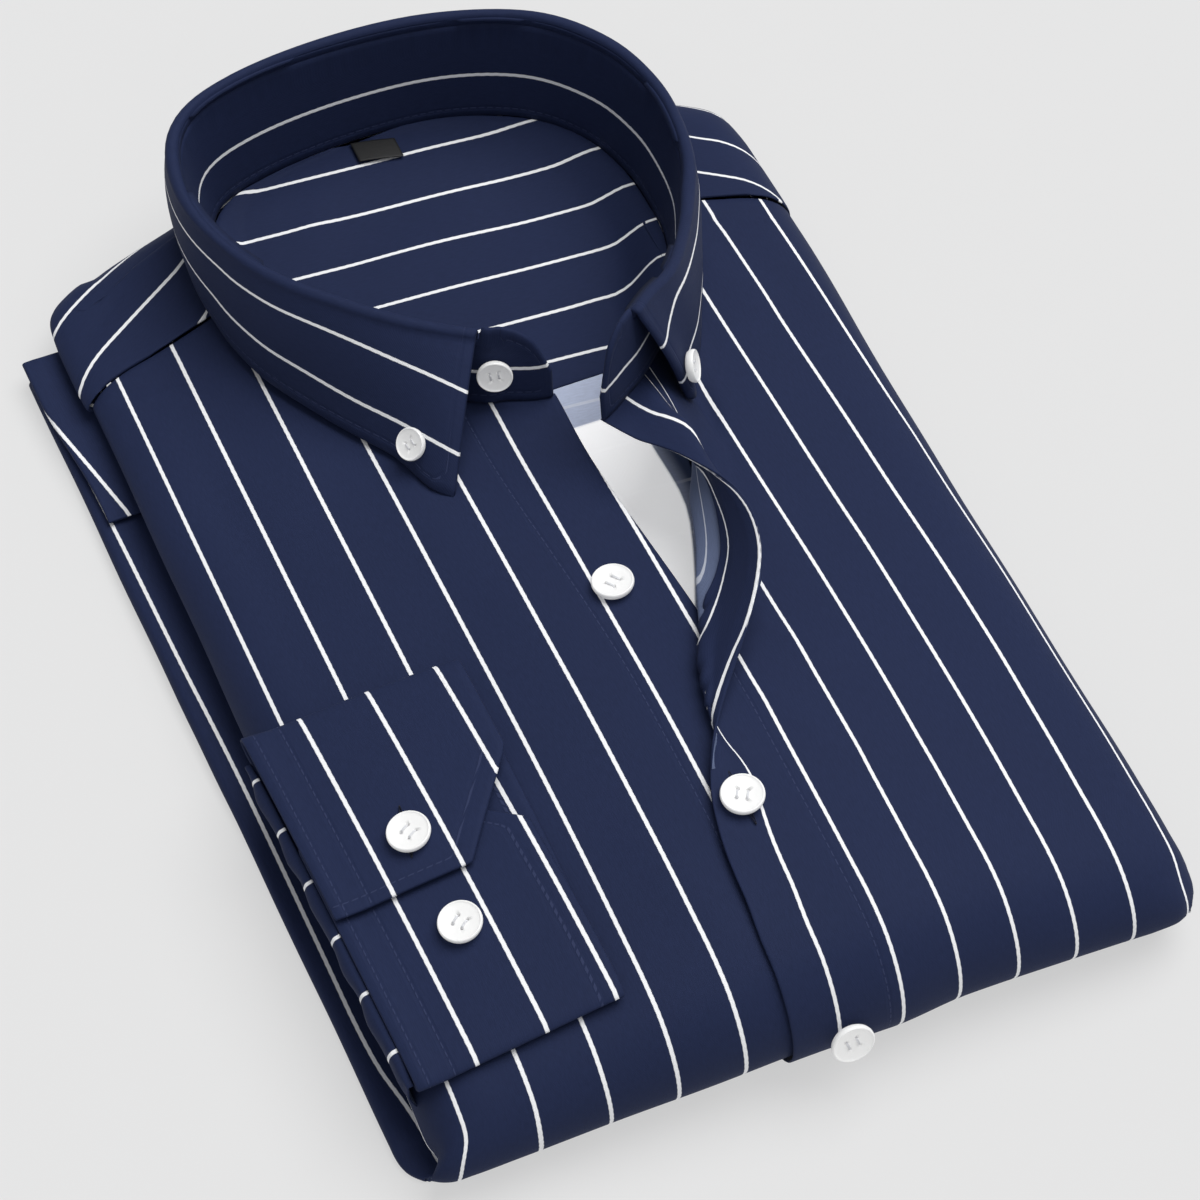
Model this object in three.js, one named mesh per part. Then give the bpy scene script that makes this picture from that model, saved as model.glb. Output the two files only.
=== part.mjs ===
// A long-sleeved button-down shirt, buttoned, folded flat for the shelf and lying on its back.
// Millimetres, +X towards the wearer's left side, +Y towards the collar, +Z up from the surface it lies on.
// The pieces are worked out in the drafting frame, whose origin is on the line of the front buttons,
// and the whole group is then moved so that its own origin is under the middle of the folded shirt.
import * as THREE from "three";

// ---- driving sizes ----
const bodyCloth = 1.2; // wall of the body pieces: poplin with its turned allowance
const stiffCloth = 1.8; // wall of collar and cuff, which are interlined
const facingCloth = 0.9;
const seamGap = 0.3;
const coreGap = 2.4; // from the face of a body piece down to the folded layers under it

const bottomFold = -143.5; // middle of the bottom fold
const bottomFoldSlant = -0.038;
const sideTurn = 12; // how far in from a side its rounding reaches
const foldTurn = 21; // the same at the thick bottom fold
const shoulderTurn = 11;
const neckTurn = 4; // behind the neck the body ends just past the collar
const middleShare = 0.47; // the widest line of a rounded edge, as a share of the thickness there
const cornerRadius = 11; // bottom corners, seen from above
const foldSpread = 6; // the bottom fold runs out over the folded sleeve at the left
const sleeveStack = 8.6; // the body's left side rests on the folded sleeve
const liftOfUnderside = 1.4; // where the fronts end, just above the surface

const frontEdgeTop = 15; // the under front's edge, at the collar and at the bottom
const frontEdgeBottom = 20;
const overlapLift = bodyCloth + 0.5; // the upper front lies on the under one
const insideClothTop = 18.4; // face of the cloth that lines that hollow

const buttonRadius = 6;
const collarButtonRadius = 4.8;
const buttonThick = 2.6;

const groupOffset = { x: 0.02, y: -28.72 }; // drafting frame to the part's own frame

// Height of the folded body along the line of the buttons.
const ridge = [
  { y: -150, high: 39 },
  { y: -125, high: 42.5 },
  { y: -90, high: 45 },
  { y: -50, high: 45 },
  { y: 0, high: 41 },
  { y: 50, high: 36 },
  { y: 100, high: 31 },
  { y: 150, high: 26 },
  { y: 205, high: 19 },
];

// How far the top falls to each side of that line.
const crown = [
  { x: -116, fall: 19 },
  { x: -100, fall: 14 },
  { x: -60, fall: 7 },
  { x: -20, fall: 1.5 },
  { x: 5, fall: 0 },
  { x: 40, fall: 0.5 },
  { x: 70, fall: 4 },
  { x: 100, fall: 9 },
  { x: 116, fall: 13 },
];

// The two long sides of the folded body.
const sides = [
  { y: 172, left: -105.4, right: 115.2 },
  { y: 160, left: -106.5, right: 116.4 },
  { y: 148, left: -106.8, right: 116.6 },
  { y: 134, left: -106, right: 116.4 },
  { y: 110, left: -105.6, right: 116.2 },
  { y: 70, left: -104.9, right: 114.2 },
  { y: 20, left: -104.7, right: 112.4 },
  { y: -20, left: -104.5, right: 111.8 },
  { y: -100, left: -104, right: 112.3 },
  { y: -150, left: -104, right: 112.6 },
];

// The outer yoke's outline from its left seam, over the shoulder fold, to its right seam.
const yokeOutline = [
  { x: -106, y: 133.5 },
  { x: -106.8, y: 147 },
  { x: -106.6, y: 161 },
  { x: -104.6, y: 171.8 },
  { x: -96, y: 178.4 },
  { x: -80, y: 185.2 },
  { x: -58, y: 191.8 },
  { x: -28, y: 200 },
  { x: 5, y: 203.5 },
  { x: 38, y: 199.5 },
  { x: 68, y: 190.5 },
  { x: 88, y: 182 },
  { x: 104, y: 174.5 },
  { x: 113.5, y: 167 },
  { x: 116.4, y: 155 },
  { x: 116.6, y: 140 },
  { x: 116.3, y: 121 },
];

// The seams between the yoke and the two fronts.
const yokeSeamLeft = [
  { x: -106, y: 133.5 },
  { x: -100, y: 136.3 },
  { x: -92, y: 138.6 },
  { x: -79, y: 141.2 },
  { x: -67, y: 144.5 },
  { x: -54, y: 147.5 },
];
const yokeSeamRight = [
  { x: 73, y: 133 },
  { x: 88, y: 129 },
  { x: 104, y: 124.5 },
  { x: 116.4, y: 121 },
];

// The neck seam from the button end of the stand, round the back, to its buttonhole end: where it runs,
// how high the stand and its roll are, how far they lean out, and how the leaf falls from the roll.
const collar = [
  { x: 14, y: 67, z: 37.4, high: 9, lean: -14, deep: 0, flare: 0, trail: 0 },
  { x: 9, y: 68.5, z: 36.8, high: 20, lean: -14, deep: 0, flare: 0, trail: 0 },
  { x: 2, y: 72, z: 36, high: 25, lean: -14, deep: 0, flare: 0, trail: 0 },
  { x: -5, y: 75, z: 35, high: 26.5, lean: -13, deep: 40, flare: 55, trail: -3 },
  { x: -21, y: 89, z: 32, high: 29, lean: -8, deep: 35.5, flare: 43, trail: -2 },
  { x: -36, y: 106, z: 29, high: 32, lean: -4, deep: 33, flare: 29, trail: 0 },
  { x: -47, y: 125, z: 26.5, high: 34, lean: 2, deep: 31.5, flare: 17, trail: 0 },
  { x: -53, y: 146, z: 24, high: 36, lean: 7, deep: 31, flare: 6, trail: 0 },
  { x: -53, y: 166, z: 22.5, high: 37, lean: 11, deep: 31, flare: -1, trail: 0 },
  { x: -46, y: 184, z: 21.5, high: 38, lean: 13, deep: 31, flare: 0, trail: 0 },
  { x: -28, y: 192, z: 21, high: 38, lean: 14.5, deep: 31, flare: 1, trail: 0 },
  { x: 0, y: 195, z: 21, high: 38, lean: 13, deep: 31, flare: 2, trail: 0 },
  { x: 30, y: 193, z: 21, high: 38, lean: 10.5, deep: 31, flare: 3, trail: 0 },
  { x: 54, y: 183, z: 21, high: 38, lean: 12, deep: 31, flare: 3, trail: 0 },
  { x: 68, y: 167, z: 21.2, high: 37.5, lean: 13, deep: 31, flare: 2, trail: 0 },
  { x: 73.5, y: 150, z: 22, high: 37, lean: 13, deep: 31, flare: 1, trail: 0 },
  { x: 74, y: 134, z: 24, high: 36, lean: 12, deep: 31, flare: 0, trail: 0 },
  { x: 72, y: 117, z: 27.5, high: 34.5, lean: 9, deep: 31, flare: 0, trail: 0 },
  { x: 67, y: 102, z: 32, high: 32, lean: 6, deep: 31, flare: 3, trail: 0 },
  { x: 60, y: 87, z: 38, high: 30, lean: 4, deep: 32, flare: 7, trail: 0 },
  { x: 50, y: 70, z: 44.5, high: 30, lean: 1, deep: 35, flare: 11, trail: 2 },
  { x: 41, y: 59, z: 49, high: 30.5, lean: -4, deep: 39, flare: 15, trail: 5 },
  { x: 34, y: 52, z: 51.5, high: 30.5, lean: -5, deep: 39.8, flare: 17, trail: 7 },
  { x: 28, y: 47.5, z: 53, high: 28, lean: -6, deep: 0, flare: 0, trail: 0 },
  { x: 23, y: 44, z: 53.6, high: 22, lean: -6, deep: 0, flare: 0, trail: 0 },
  { x: 18.5, y: 41.5, z: 54, high: 9, lean: -4, deep: 0, flare: 0, trail: 0 },
];
const leafFirst = 3.1; // rows of the collar where the leaf begins and ends
const leafLast = 22;
const rollRadius = 1.9;
const yokeFirst = 7.1; // rows of the collar where the front yoke seams meet it
const yokeLast = 16.1;
// The upper front's free edge between the collar and the first fastened button, a row for each section
// across it: the edge, the crest of the roll and the crease at its foot. Each height is above the body's top.
const openFront = [
  { ex: 25, ey: 30, eUp: 16.5, mx: 35, my: 38, mUp: 18.8, cx: 42, cy: 42, cUp: 11.2, px: 52, py: 50 },
  { ex: 31, ey: 22, eUp: 17.6, mx: 39.5, my: 29, mUp: 18.6, cx: 40, cy: 24, cUp: 6.2, px: 52, py: 33 },
  { ex: 38.5, ey: 5, eUp: 20.6, mx: 39, my: 12.5, mUp: 14.5, cx: 34, cy: 14, cUp: 3.4, px: 49, py: 18 },
  { ex: 40.5, ey: -9, eUp: 21.8, mx: 35, my: -6, mUp: 10.5, cx: 28, cy: -3, cUp: 3.2, px: 45, py: -2 },
  { ex: 37.5, ey: -23.5, eUp: 20.2, mx: 29.5, my: -20, mUp: 8.6, cx: 22, cy: -17, cUp: 3.2, px: 41, py: -17 },
  { ex: 29, ey: -37, eUp: 15.8, mx: 22, my: -33, mUp: 7.4, cx: 17, cy: -31, cUp: 3.2, px: 37, py: -32 },
  { ex: 20, ey: -47, eUp: 11.2, mx: 15.5, my: -44, mUp: 6.2, cx: 12.5, cy: -42, cUp: 3.4, px: 33, py: -44 },
  { ex: 11, ey: -57, eUp: 7, mx: 9.2, my: -55.5, mUp: 4.8, cx: 9, cy: -54.5, cUp: 3.4, px: 31, py: -56 },
  { ex: 3, ey: -68, eUp: 4.8, mx: 5, my: -67.5, mUp: 3.6, cx: 10, cy: -67, cUp: 3, px: 30, py: -68 },
  { ex: -3, ey: -80, eUp: 3.4, mx: 6, my: -80, mUp: 2.6, cx: 16, cy: -80, cUp: 2.2, px: 30, py: -80 },
  { ex: -6.5, ey: -96, eUp: 2.6, mx: 5, my: -96, mUp: 2.2, cx: 17, cy: -96, cUp: 2, px: 30, py: -96 },
  { ex: -7.5, ey: -111, eUp: 2.4, mx: 5, my: -111, mUp: 2, cx: 17, cy: -111, cUp: 1.9, px: 30, py: -111 },
];

// The cuff lies flat on the under front: its band as a section across the arm, from the button end, round the
// near and far folds, to the buttonhole end on top. Height is above the cloth it lies on.
const cuffSection = [
  { y: -47, up: 4.4 },
  { y: -64, up: 4.5 },
  { y: -84, up: 4.6 },
  { y: -110, up: 4.4 },
  { y: -119.5, up: 4.1 },
  { y: -122, up: 2.6 },
  { y: -119.5, up: 0.9 },
  { y: -110, up: 0.4 },
  { y: -65, up: 0.4 },
  { y: -18, up: 0.4 },
  { y: -9.5, up: 1 },
  { y: -7, up: 3.4 },
  { y: -9.5, up: 5.8 },
  { y: -18, up: 6.4 },
  { y: -42, up: 6.8 },
  { y: -58, up: 7.1 },
  { y: -71, up: 7 },
];
const cuffSkew = 0.07; // the folded band runs slightly across the stripes of the front
const cuffSeamTop = -107.6; // the seam with the sleeve, at the far and near folds
const cuffSeamBottom = -103;
const cuffHem = -46.6;
const cuffMitre = 21; // how wide the cut-off corner is at both ends of the band
const cuffMitreStart = 17; // how far it runs along the band, at the button end and on the tab
const cuffMitreEnd = 30;

const degrees = Math.PI / 180;

// ---- small helpers ----
function smooth(low, high, value) {
  const t = Math.min(1, Math.max(0, (value - low) / (high - low)));
  return t * t * (3 - 2 * t);
}

function mix(a, b, t) {
  return a + (b - a) * t;
}

// Smooth reading of a table: rows ordered by key, tangents from the neighbours.
function read(table, key, column, at) {
  const last = table.length - 1;
  const rising = table[last][key] > table[0][key];
  let i = 0;
  while (i < last - 1 && (rising ? table[i + 1][key] < at : table[i + 1][key] > at)) i++;
  const slope = (k) => {
    const a = table[Math.max(0, k - 1)];
    const b = table[Math.min(last, k + 1)];
    return (b[column] - a[column]) / (b[key] - a[key]);
  };
  const a = table[i];
  const b = table[i + 1];
  const span = b[key] - a[key];
  const t = Math.min(1, Math.max(0, (at - a[key]) / span));
  const t2 = t * t;
  const t3 = t2 * t;
  return (
    (2 * t3 - 3 * t2 + 1) * a[column] +
    (t3 - 2 * t2 + t) * span * slope(i) +
    (3 * t2 - 2 * t3) * b[column] +
    (t3 - t2) * span * slope(i + 1)
  );
}

// The same by row number, for tables without a rising key.
function readRow(table, column, at) {
  const last = table.length - 1;
  const i = Math.min(last - 1, Math.max(0, Math.floor(at)));
  const t = at - i;
  const v = [-1, 0, 1, 2].map((k) => table[Math.min(last, Math.max(0, i + k))][column]);
  const tangentA = (v[2] - v[0]) / 2;
  const tangentB = (v[3] - v[1]) / 2;
  const t2 = t * t;
  const t3 = t2 * t;
  return (
    (2 * t3 - 3 * t2 + 1) * v[1] + (t3 - 2 * t2 + t) * tangentA + (3 * t2 - 2 * t3) * v[2] + (t3 - t2) * tangentB
  );
}

function steps(from, to, count) {
  return Array.from({ length: count + 1 }, (_, k) => from + ((to - from) * k) / count);
}

// ---- the folded body ----
function topHeight(x, y) {
  const high = read(ridge, "y", "high", y);
  return high - (read(crown, "x", "fall", x) * high) / 45;
}

function leftAt(y) {
  return read(sides, "y", "left", y);
}

function rightAt(y) {
  return read(sides, "y", "right", y);
}

function bottomAt(x) {
  return bottomFold + bottomFoldSlant * x;
}

// The shoulder fold at a distance across, and how far in its rounding reaches.
function shoulderAt(x) {
  return read(yokeOutline.slice(3, 14), "x", "y", x);
}

function shoulderTurnAt(x) {
  return mix(neckTurn, shoulderTurn, smooth(30, 75, Math.abs(x - 5)));
}

// Draws points near the bottom corners in, so that both corners are round from above.
function rounded(x, y) {
  const middle = (leftAt(y) + rightAt(y)) / 2;
  const u = x < middle ? (leftAt(y) - foldSpread + cornerRadius - x) / cornerRadius : (x - rightAt(y)) / cornerRadius + 1;
  const v = (bottomAt(x) + cornerRadius - y) / cornerRadius;
  if (u <= 0 || v <= 0) return { x, y };
  const pull = (1 - Math.max(u, v) / Math.hypot(u, v)) * cornerRadius;
  return { x: x + (x < middle ? 1 : -1) * u * pull, y: y + v * pull };
}

// An edge that turns over: angle 90 is still on top, 0 is the side itself, below 0 it is tucked under.
function turn(angle) {
  const a = angle * degrees;
  return { inset: 1 - Math.cos(a), up: Math.max(0, Math.sin(a)), down: Math.max(0, -Math.sin(a)) };
}
const onTop = { inset: 1, up: 1, down: 0 };

function bodyPoint(x, y, across, along, floor, lift = 0) {
  const top = topHeight(x, y) + lift;
  const middle = mix(floor, topHeight(x, y), middleShare);
  const down = Math.max(across.down, along.down);
  const z = middle + (top - middle) * across.up * along.up - (middle - floor) * down;
  const plan = rounded(x, y);
  return new THREE.Vector3(plan.x, plan.y, z);
}

// ---- solids from grids of points ----
function normalsOf(grid) {
  const rows = grid.length;
  const columns = grid[0].length;
  const across = new THREE.Vector3();
  const along = new THREE.Vector3();
  return grid.map((row, j) =>
    row.map((point, i) => {
      across.subVectors(row[Math.min(columns - 1, i + 1)], row[Math.max(0, i - 1)]);
      along.subVectors(grid[Math.min(rows - 1, j + 1)][i], grid[Math.max(0, j - 1)][i]);
      return new THREE.Vector3().crossVectors(across, along).normalize();
    }),
  );
}

function moved(grid, distance) {
  const normals = normalsOf(grid);
  return grid.map((row, j) => row.map((point, i) => point.clone().addScaledVector(normals[j][i], distance)));
}

// One closed wall between a grid of face points and the grid behind it. Columns cross rows so that
// column direction x row direction points out of the face.
function wallBetween(face, back) {
  const rows = face.length;
  const columns = face[0].length;
  const points = [...face.flat(), ...back.flat()];
  const triangles = [];
  const f = (j, i) => j * columns + i;
  const b = (j, i) => rows * columns + j * columns + i;
  const quad = (p, q, r, s) => triangles.push(p, q, r, p, r, s);
  for (let j = 0; j < rows - 1; j++) {
    for (let i = 0; i < columns - 1; i++) {
      quad(f(j, i), f(j, i + 1), f(j + 1, i + 1), f(j + 1, i));
      quad(b(j, i), b(j + 1, i), b(j + 1, i + 1), b(j, i + 1));
    }
  }
  for (let i = 0; i < columns - 1; i++) {
    quad(f(0, i), b(0, i), b(0, i + 1), f(0, i + 1));
    quad(f(rows - 1, i), f(rows - 1, i + 1), b(rows - 1, i + 1), b(rows - 1, i));
  }
  for (let j = 0; j < rows - 1; j++) {
    quad(f(j, 0), f(j + 1, 0), b(j + 1, 0), b(j, 0));
    quad(f(j, columns - 1), b(j, columns - 1), b(j + 1, columns - 1), f(j + 1, columns - 1));
  }
  return geometryOf(points, triangles);
}

function geometryOf(points, triangles) {
  const geometry = new THREE.BufferGeometry();
  geometry.setAttribute("position", new THREE.Float32BufferAttribute(points.flatMap((p) => [p.x, p.y, p.z]), 3));
  geometry.setIndex(triangles);
  geometry.computeVertexNormals();
  return geometry;
}

function wall(grid, thickness) {
  return wallBetween(grid, moved(grid, -thickness));
}

const cloth = { color: 0x2b3352, roughness: 0.72, metalness: 0 };
const clothInside = { color: 0xd9dfee, roughness: 0.8, metalness: 0 };
const buttonWhite = { color: 0xf3f3f1, roughness: 0.3, metalness: 0 };
const labelBlack = { color: 0x17181c, roughness: 0.7, metalness: 0 };

const shirt = new THREE.Group();
shirt.position.set(groupOffset.x, groupOffset.y, 0);

function add(name, geometry, finish) {
  const mesh = new THREE.Mesh(geometry, new THREE.MeshStandardMaterial(finish));
  mesh.name = name;
  shirt.add(mesh);
  return mesh;
}

// ---- the neck ----
function neckPoint(row) {
  return new THREE.Vector3(readRow(collar, "x", row), readRow(collar, "y", row), readRow(collar, "z", row));
}

// Level direction away from the neck at a row of the collar, and the one along the seam towards the back.
function neckFrame(row) {
  const before = neckPoint(Math.max(0, row - 0.5));
  const after = neckPoint(Math.min(collar.length - 1, row + 0.5));
  const tangent = after.sub(before).setZ(0).normalize();
  const outward = new THREE.Vector3(-tangent.y, tangent.x, 0);
  const towardsBack = tangent.clone().multiplyScalar(row < 11 ? 1 : -1);
  return { outward, towardsBack };
}

function standPoint(row, height, out = 0) {
  const lean = readRow(collar, "lean", row) * degrees;
  const { outward } = neckFrame(row);
  return neckPoint(row)
    .addScaledVector(outward, height * Math.sin(lean) + out * Math.cos(lean))
    .add(new THREE.Vector3(0, 0, height * Math.cos(lean) - out * Math.sin(lean)));
}

function makeStand() {
  const rollShare = 3; // the leaf's roll takes over this far below the top
  const rows = [
    ...steps(0, leafFirst - 0.14, 7),
    ...steps(leafFirst - 0.08, leafLast + 0.08, 38),
    ...steps(leafLast + 0.14, collar.length - 1, 6),
  ];
  const grid = steps(0, 1, 4).map((share) =>
    rows.map((row) => {
      const high = readRow(collar, "high", row);
      const insideLeaf = row > leafFirst - 0.1 && row < leafLast + 0.1;
      const top = insideLeaf ? high - rollShare - seamGap : high;
      return standPoint(row, seamGap + (top - seamGap) * share);
    }),
  );
  // the face of this grid looks into the neck, so the wall is laid outside it
  const outside = moved(grid, -stiffCloth);
  add("collar_stand", wallBetween(grid, outside), cloth);
}

function leafPoint(row, part) {
  const high = readRow(collar, "high", row);
  if (part.below !== undefined) return standPoint(row, high - part.below);
  const roll = part.roll * degrees;
  const level = high - rollRadius + Math.sin(roll) * rollRadius;
  const onRoll = standPoint(row, level, rollRadius - Math.cos(roll) * rollRadius);
  if (!part.fall) return onRoll;
  const flare = readRow(collar, "flare", row) * degrees;
  const deep = readRow(collar, "deep", row) * part.fall;
  const { outward, towardsBack } = neckFrame(row);
  const bow = Math.sin(part.fall * Math.PI) * 1.5; // the leaf bows out a little on its way down
  return onRoll
    .addScaledVector(outward, deep * Math.sin(flare) + bow * Math.cos(flare))
    .addScaledVector(towardsBack, readRow(collar, "trail", row) * part.fall)
    .add(new THREE.Vector3(0, 0, bow * Math.sin(flare) - deep * Math.cos(flare)));
}

function makeLeaf() {
  const parts = [
    { below: 3 },
    { roll: 0 },
    { roll: 45 },
    { roll: 90 },
    { roll: 135 },
    { roll: 180 },
    { roll: 180, fall: 0.2 },
    { roll: 180, fall: 0.45 },
    { roll: 180, fall: 0.72 },
    { roll: 180, fall: 1 },
  ];
  const rows = steps(leafFirst, leafLast, 38);
  const grid = parts.map((part) => rows.map((row) => leafPoint(row, part)));
  add("collar_leaf", wall(grid, 1.5), cloth);
}

// ---- yokes ----
// The outer yoke runs from the neck seam to the shoulder fold and over it, between the two front seams.
function yokeEdgePoint(share) {
  const at = share * (yokeOutline.length - 1);
  return new THREE.Vector3(readRow(yokeOutline, "x", at), readRow(yokeOutline, "y", at), 0);
}

function yokeRay(share, angle, travel) {
  const row = mix(yokeFirst, yokeLast, share);
  const edge = yokeEdgePoint(share);
  const before = yokeEdgePoint(Math.max(0, share - 0.02));
  const after = yokeEdgePoint(Math.min(1, share + 0.02));
  const out = new THREE.Vector3(-(after.y - before.y), after.x - before.x, 0).normalize();
  const neck = neckPoint(row).addScaledVector(neckFrame(row).outward, stiffCloth + 0.7);
  const neckZ = neck.z;
  neck.z = 0;
  const reach = shoulderTurnAt(edge.x);
  const onSeam = Math.max(1 - smooth(0, 0.1, share), smooth(0.9, 1, share));
  const alongSeam = (point) => {
    const seam = share < 0.5 ? read(yokeSeamLeft, "x", "y", point.x) : read(yokeSeamRight, "x", "y", point.x);
    point.y = mix(point.y, seam + 0.3, onSeam);
    return point;
  };
  if (angle === undefined) {
    const shoulderFlat = edge.clone().addScaledVector(out, -reach);
    const at = alongSeam(neck.clone().lerp(shoulderFlat, travel));
    const lift = (neckZ - 0.9 - topHeight(neck.x, neck.y)) * (1 - smooth(0, 1, travel));
    return bodyPoint(at.x, at.y, onTop, onTop, 0, lift);
  }
  const edgeTurn = turn(angle);
  const at = alongSeam(edge.clone().addScaledVector(out, -reach * edgeTurn.inset));
  const floor = at.x < -90 ? sleeveStack + 1 : liftOfUnderside;
  return bodyPoint(at.x, at.y, edgeTurn, onTop, mix(floor, liftOfUnderside, smooth(-96, -80, at.x)));
}

function makeYokes() {
  const shares = steps(0, 1, 32);
  const travels = [0, 0.33, 0.66, 1];
  const angles = [60, 30, 5, -25, -50];
  const grid = [
    ...travels.map((travel) => shares.map((share) => yokeRay(share, undefined, travel))),
    ...angles.map((angle) => shares.map((share) => yokeRay(share, angle))),
  ];
  add("yoke_outer", wall(grid.map((row) => [...row].reverse()), bodyCloth), cloth);
  makeInside("yoke_inner", [82.5, 90, 98, 108, 120, 134, 150, 166, 180, 188, 193], cloth);
  makeInside("back_inside", [-43, -36, -24, -8, 10, 28, 46, 64, 76, 82], clothInside);
}

// The hollow under the neck, below where the lining reaches the neck seam.
const openSides = [
  { y: 88, left: -22, right: 61 },
  { y: 82, left: -13, right: 58 },
  { y: 74, left: -3, right: 55 },
  { y: 66, left: 8, right: 52 },
  { y: 50, left: 10, right: 48 },
  { y: 15, left: 11, right: 43 },
  { y: -20, left: 14, right: 34 },
  { y: -46, left: 17, right: 26 },
];

// The neck seam on one side, at a distance along the shirt.
function seamAt(y, side) {
  const back = 11.05;
  const front = side < 0 ? 3 : 19;
  let low = front;
  let high = back;
  for (let k = 0; k < 24; k++) {
    const middle = (low + high) / 2;
    if (readRow(collar, "y", middle) < y) low = middle;
    else high = middle;
  }
  return neckPoint((low + high) / 2);
}

function hollowSides(y) {
  const byNeck = smooth(80, 88, y);
  const left = seamAt(Math.min(y, 194.8), -1);
  const right = seamAt(Math.min(y, 194.8), 1);
  return {
    left: mix(read(openSides, "y", "left", y), left.x + 1.6, byNeck),
    right: mix(read(openSides, "y", "right", y), right.x - 1.6, byNeck),
    leftHigh: left.z - 1.4,
    rightHigh: right.z - 1.4,
    byNeck,
  };
}

function insideFloor(y) {
  return insideClothTop + 2 * smooth(150, 192, y) + 9 * smooth(0, -44, y);
}

// The face of the lining and of the back's wrong side, which close that hollow from below.
function insideTop(x, y) {
  const { left, right, leftHigh, rightHigh, byNeck } = hollowSides(y);
  const floor = insideFloor(y);
  const nearLeft = (1 - smooth(0, 7, x - left)) * byNeck;
  const nearRight = (1 - smooth(0, 15, right - x)) * byNeck;
  return floor + (leftHigh - floor) * nearLeft + (rightHigh - floor) * nearRight;
}

function makeInside(name, ys, finish) {
  const grid = ys.map((y) => {
    const { left, right } = hollowSides(y);
    const shares = [0, 0.07, 0.16, 0.3, 0.45, 0.6, 0.73, 0.84, 0.93, 1];
    return shares.map((share) => {
      const x = mix(left + 0.4, right - 0.4, share);
      return new THREE.Vector3(x, y, insideTop(x, y));
    });
  });
  add(name, wall(grid, bodyCloth), finish);
}

// ---- fronts ----
const foldAngles = [66, 42, 18, -6, -28, -50];
const sideAngles = [-48, -16, 14, 38, 64, 90];

// Round a bottom corner the side no longer turns under: its sections open out to the fold.
function sideTurnAt(angle, foldAngle) {
  const share = (angle - sideAngles[0]) / (90 - sideAngles[0]);
  const opened = turn(mix(90 * share ** 1.3, angle, smooth(8, 70, foldAngle)));
  // under the fold the corner is drawn in from the side as well
  const drawnIn = foldAngle < 0 ? turn(foldAngle).inset * 1.2 : 0;
  return { ...opened, inset: mix(opened.inset, 1, drawnIn) };
}

// The edge of a front at the neck and yoke, at a distance across the shirt.
function frontTop(x, side) {
  const rows = side < 0 ? steps(0, yokeFirst, 60) : steps(collar.length - 1, yokeLast, 60);
  const reach = neckPoint(rows[rows.length - 1]);
  const seam = side < 0 ? yokeSeamLeft : yokeSeamRight;
  const beyond = side < 0 ? x < reach.x - 1.5 : x > reach.x + 0.2;
  if (beyond) {
    const y = read(seam, "x", "y", x) - 0.8;
    const share = smooth(0, 16, Math.abs(x - reach.x));
    return { y, z: mix(reach.z - 0.6, topHeight(x, y), share) };
  }
  let best = neckPoint(rows[0]);
  for (const row of rows) {
    const point = neckPoint(row);
    if (Math.abs(point.x - x) < Math.abs(best.x - x)) best = point;
  }
  return { y: best.y, z: best.z - seamGap };
}

function neckLift(x, y, top) {
  return (top.z - topHeight(x, top.y)) * Math.exp(-(((top.y - y) / 15) ** 2));
}

function frontEdgeX(y) {
  return mix(frontEdgeBottom, frontEdgeTop, smooth(-40, 67, y));
}

function makeButtonFront() {
  const flat = steps(0, 1, 11);
  const rowsOnTop = [0, 0.03, 0.07, 0.12, 0.18, 0.26, 0.35, 0.45, 0.55, 0.65, 0.75, 0.85, 0.93, 1];
  const column = (i, y) => {
    const inner = leftAt(y) + sideTurn;
    if (i < sideAngles.length) {
      const across = turn(sideAngles[i]);
      return { x: leftAt(y) + sideTurn * across.inset, across };
    }
    return { x: mix(inner, frontEdgeX(y), flat[i - sideAngles.length + 1]), across: onTop };
  };
  const spread = (angle) => foldSpread * smooth(50, 0, angle);
  const columns = sideAngles.length + flat.length - 1;
  const grid = [];
  const line = (make) => grid.push(Array.from({ length: columns }, (_, i) => make(i)));
  for (const share of rowsOnTop) {
    line((i) => {
      let y = mix(80, bottomFold + foldTurn, share);
      let { x, across } = column(i, y);
      const top = frontTop(x, -1);
      y = mix(top.y, bottomAt(x) + foldTurn, share);
      const floor = mix(sleeveStack, liftOfUnderside, smooth(-112, -124, y));
      return bodyPoint(x, y, across, onTop, floor, neckLift(x, y, top));
    });
  }
  for (const angle of foldAngles) {
    line((i) => {
      const along = turn(angle);
      const place = column(i, bottomFold);
      if (i < sideAngles.length) {
        place.across = sideTurnAt(sideAngles[i], angle);
        place.x = leftAt(bottomFold) + sideTurn * place.across.inset;
      }
      const inFromSide = 1 - smooth(0, 34, place.x - leftAt(bottomFold));
      const x = place.x - spread(angle) * inFromSide;
      const y = bottomAt(x) + foldTurn * along.inset;
      return bodyPoint(x, y, place.across, along, liftOfUnderside);
    });
  }
  grid.reverse();
  add("front_button_side", wall(grid, bodyCloth), cloth);
}

// Lift of the upper front over the under one, fading out beyond the overlap.
function overlapAt(x) {
  return overlapLift * (1 - smooth(20, 44, x));
}

// A section of the opened front: 0 is its edge, 1 the crest, 2 the crease and 3 where it is flat again.
function openControl(row, part) {
  if (row === 0) return neckPoint(collar.length - 1 - [0, 3, 4, 5][part]).add(new THREE.Vector3(0, 0, -seamGap));
  const r = openFront[row - 1];
  const [x, y, up] = [
    [r.ex, r.ey, r.eUp],
    [r.mx, r.my, r.mUp],
    [r.cx, r.cy, r.cUp],
    [r.px, r.py, overlapAt(r.px)],
  ][part];
  return new THREE.Vector3(x, y, topHeight(x, y) + up);
}

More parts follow.
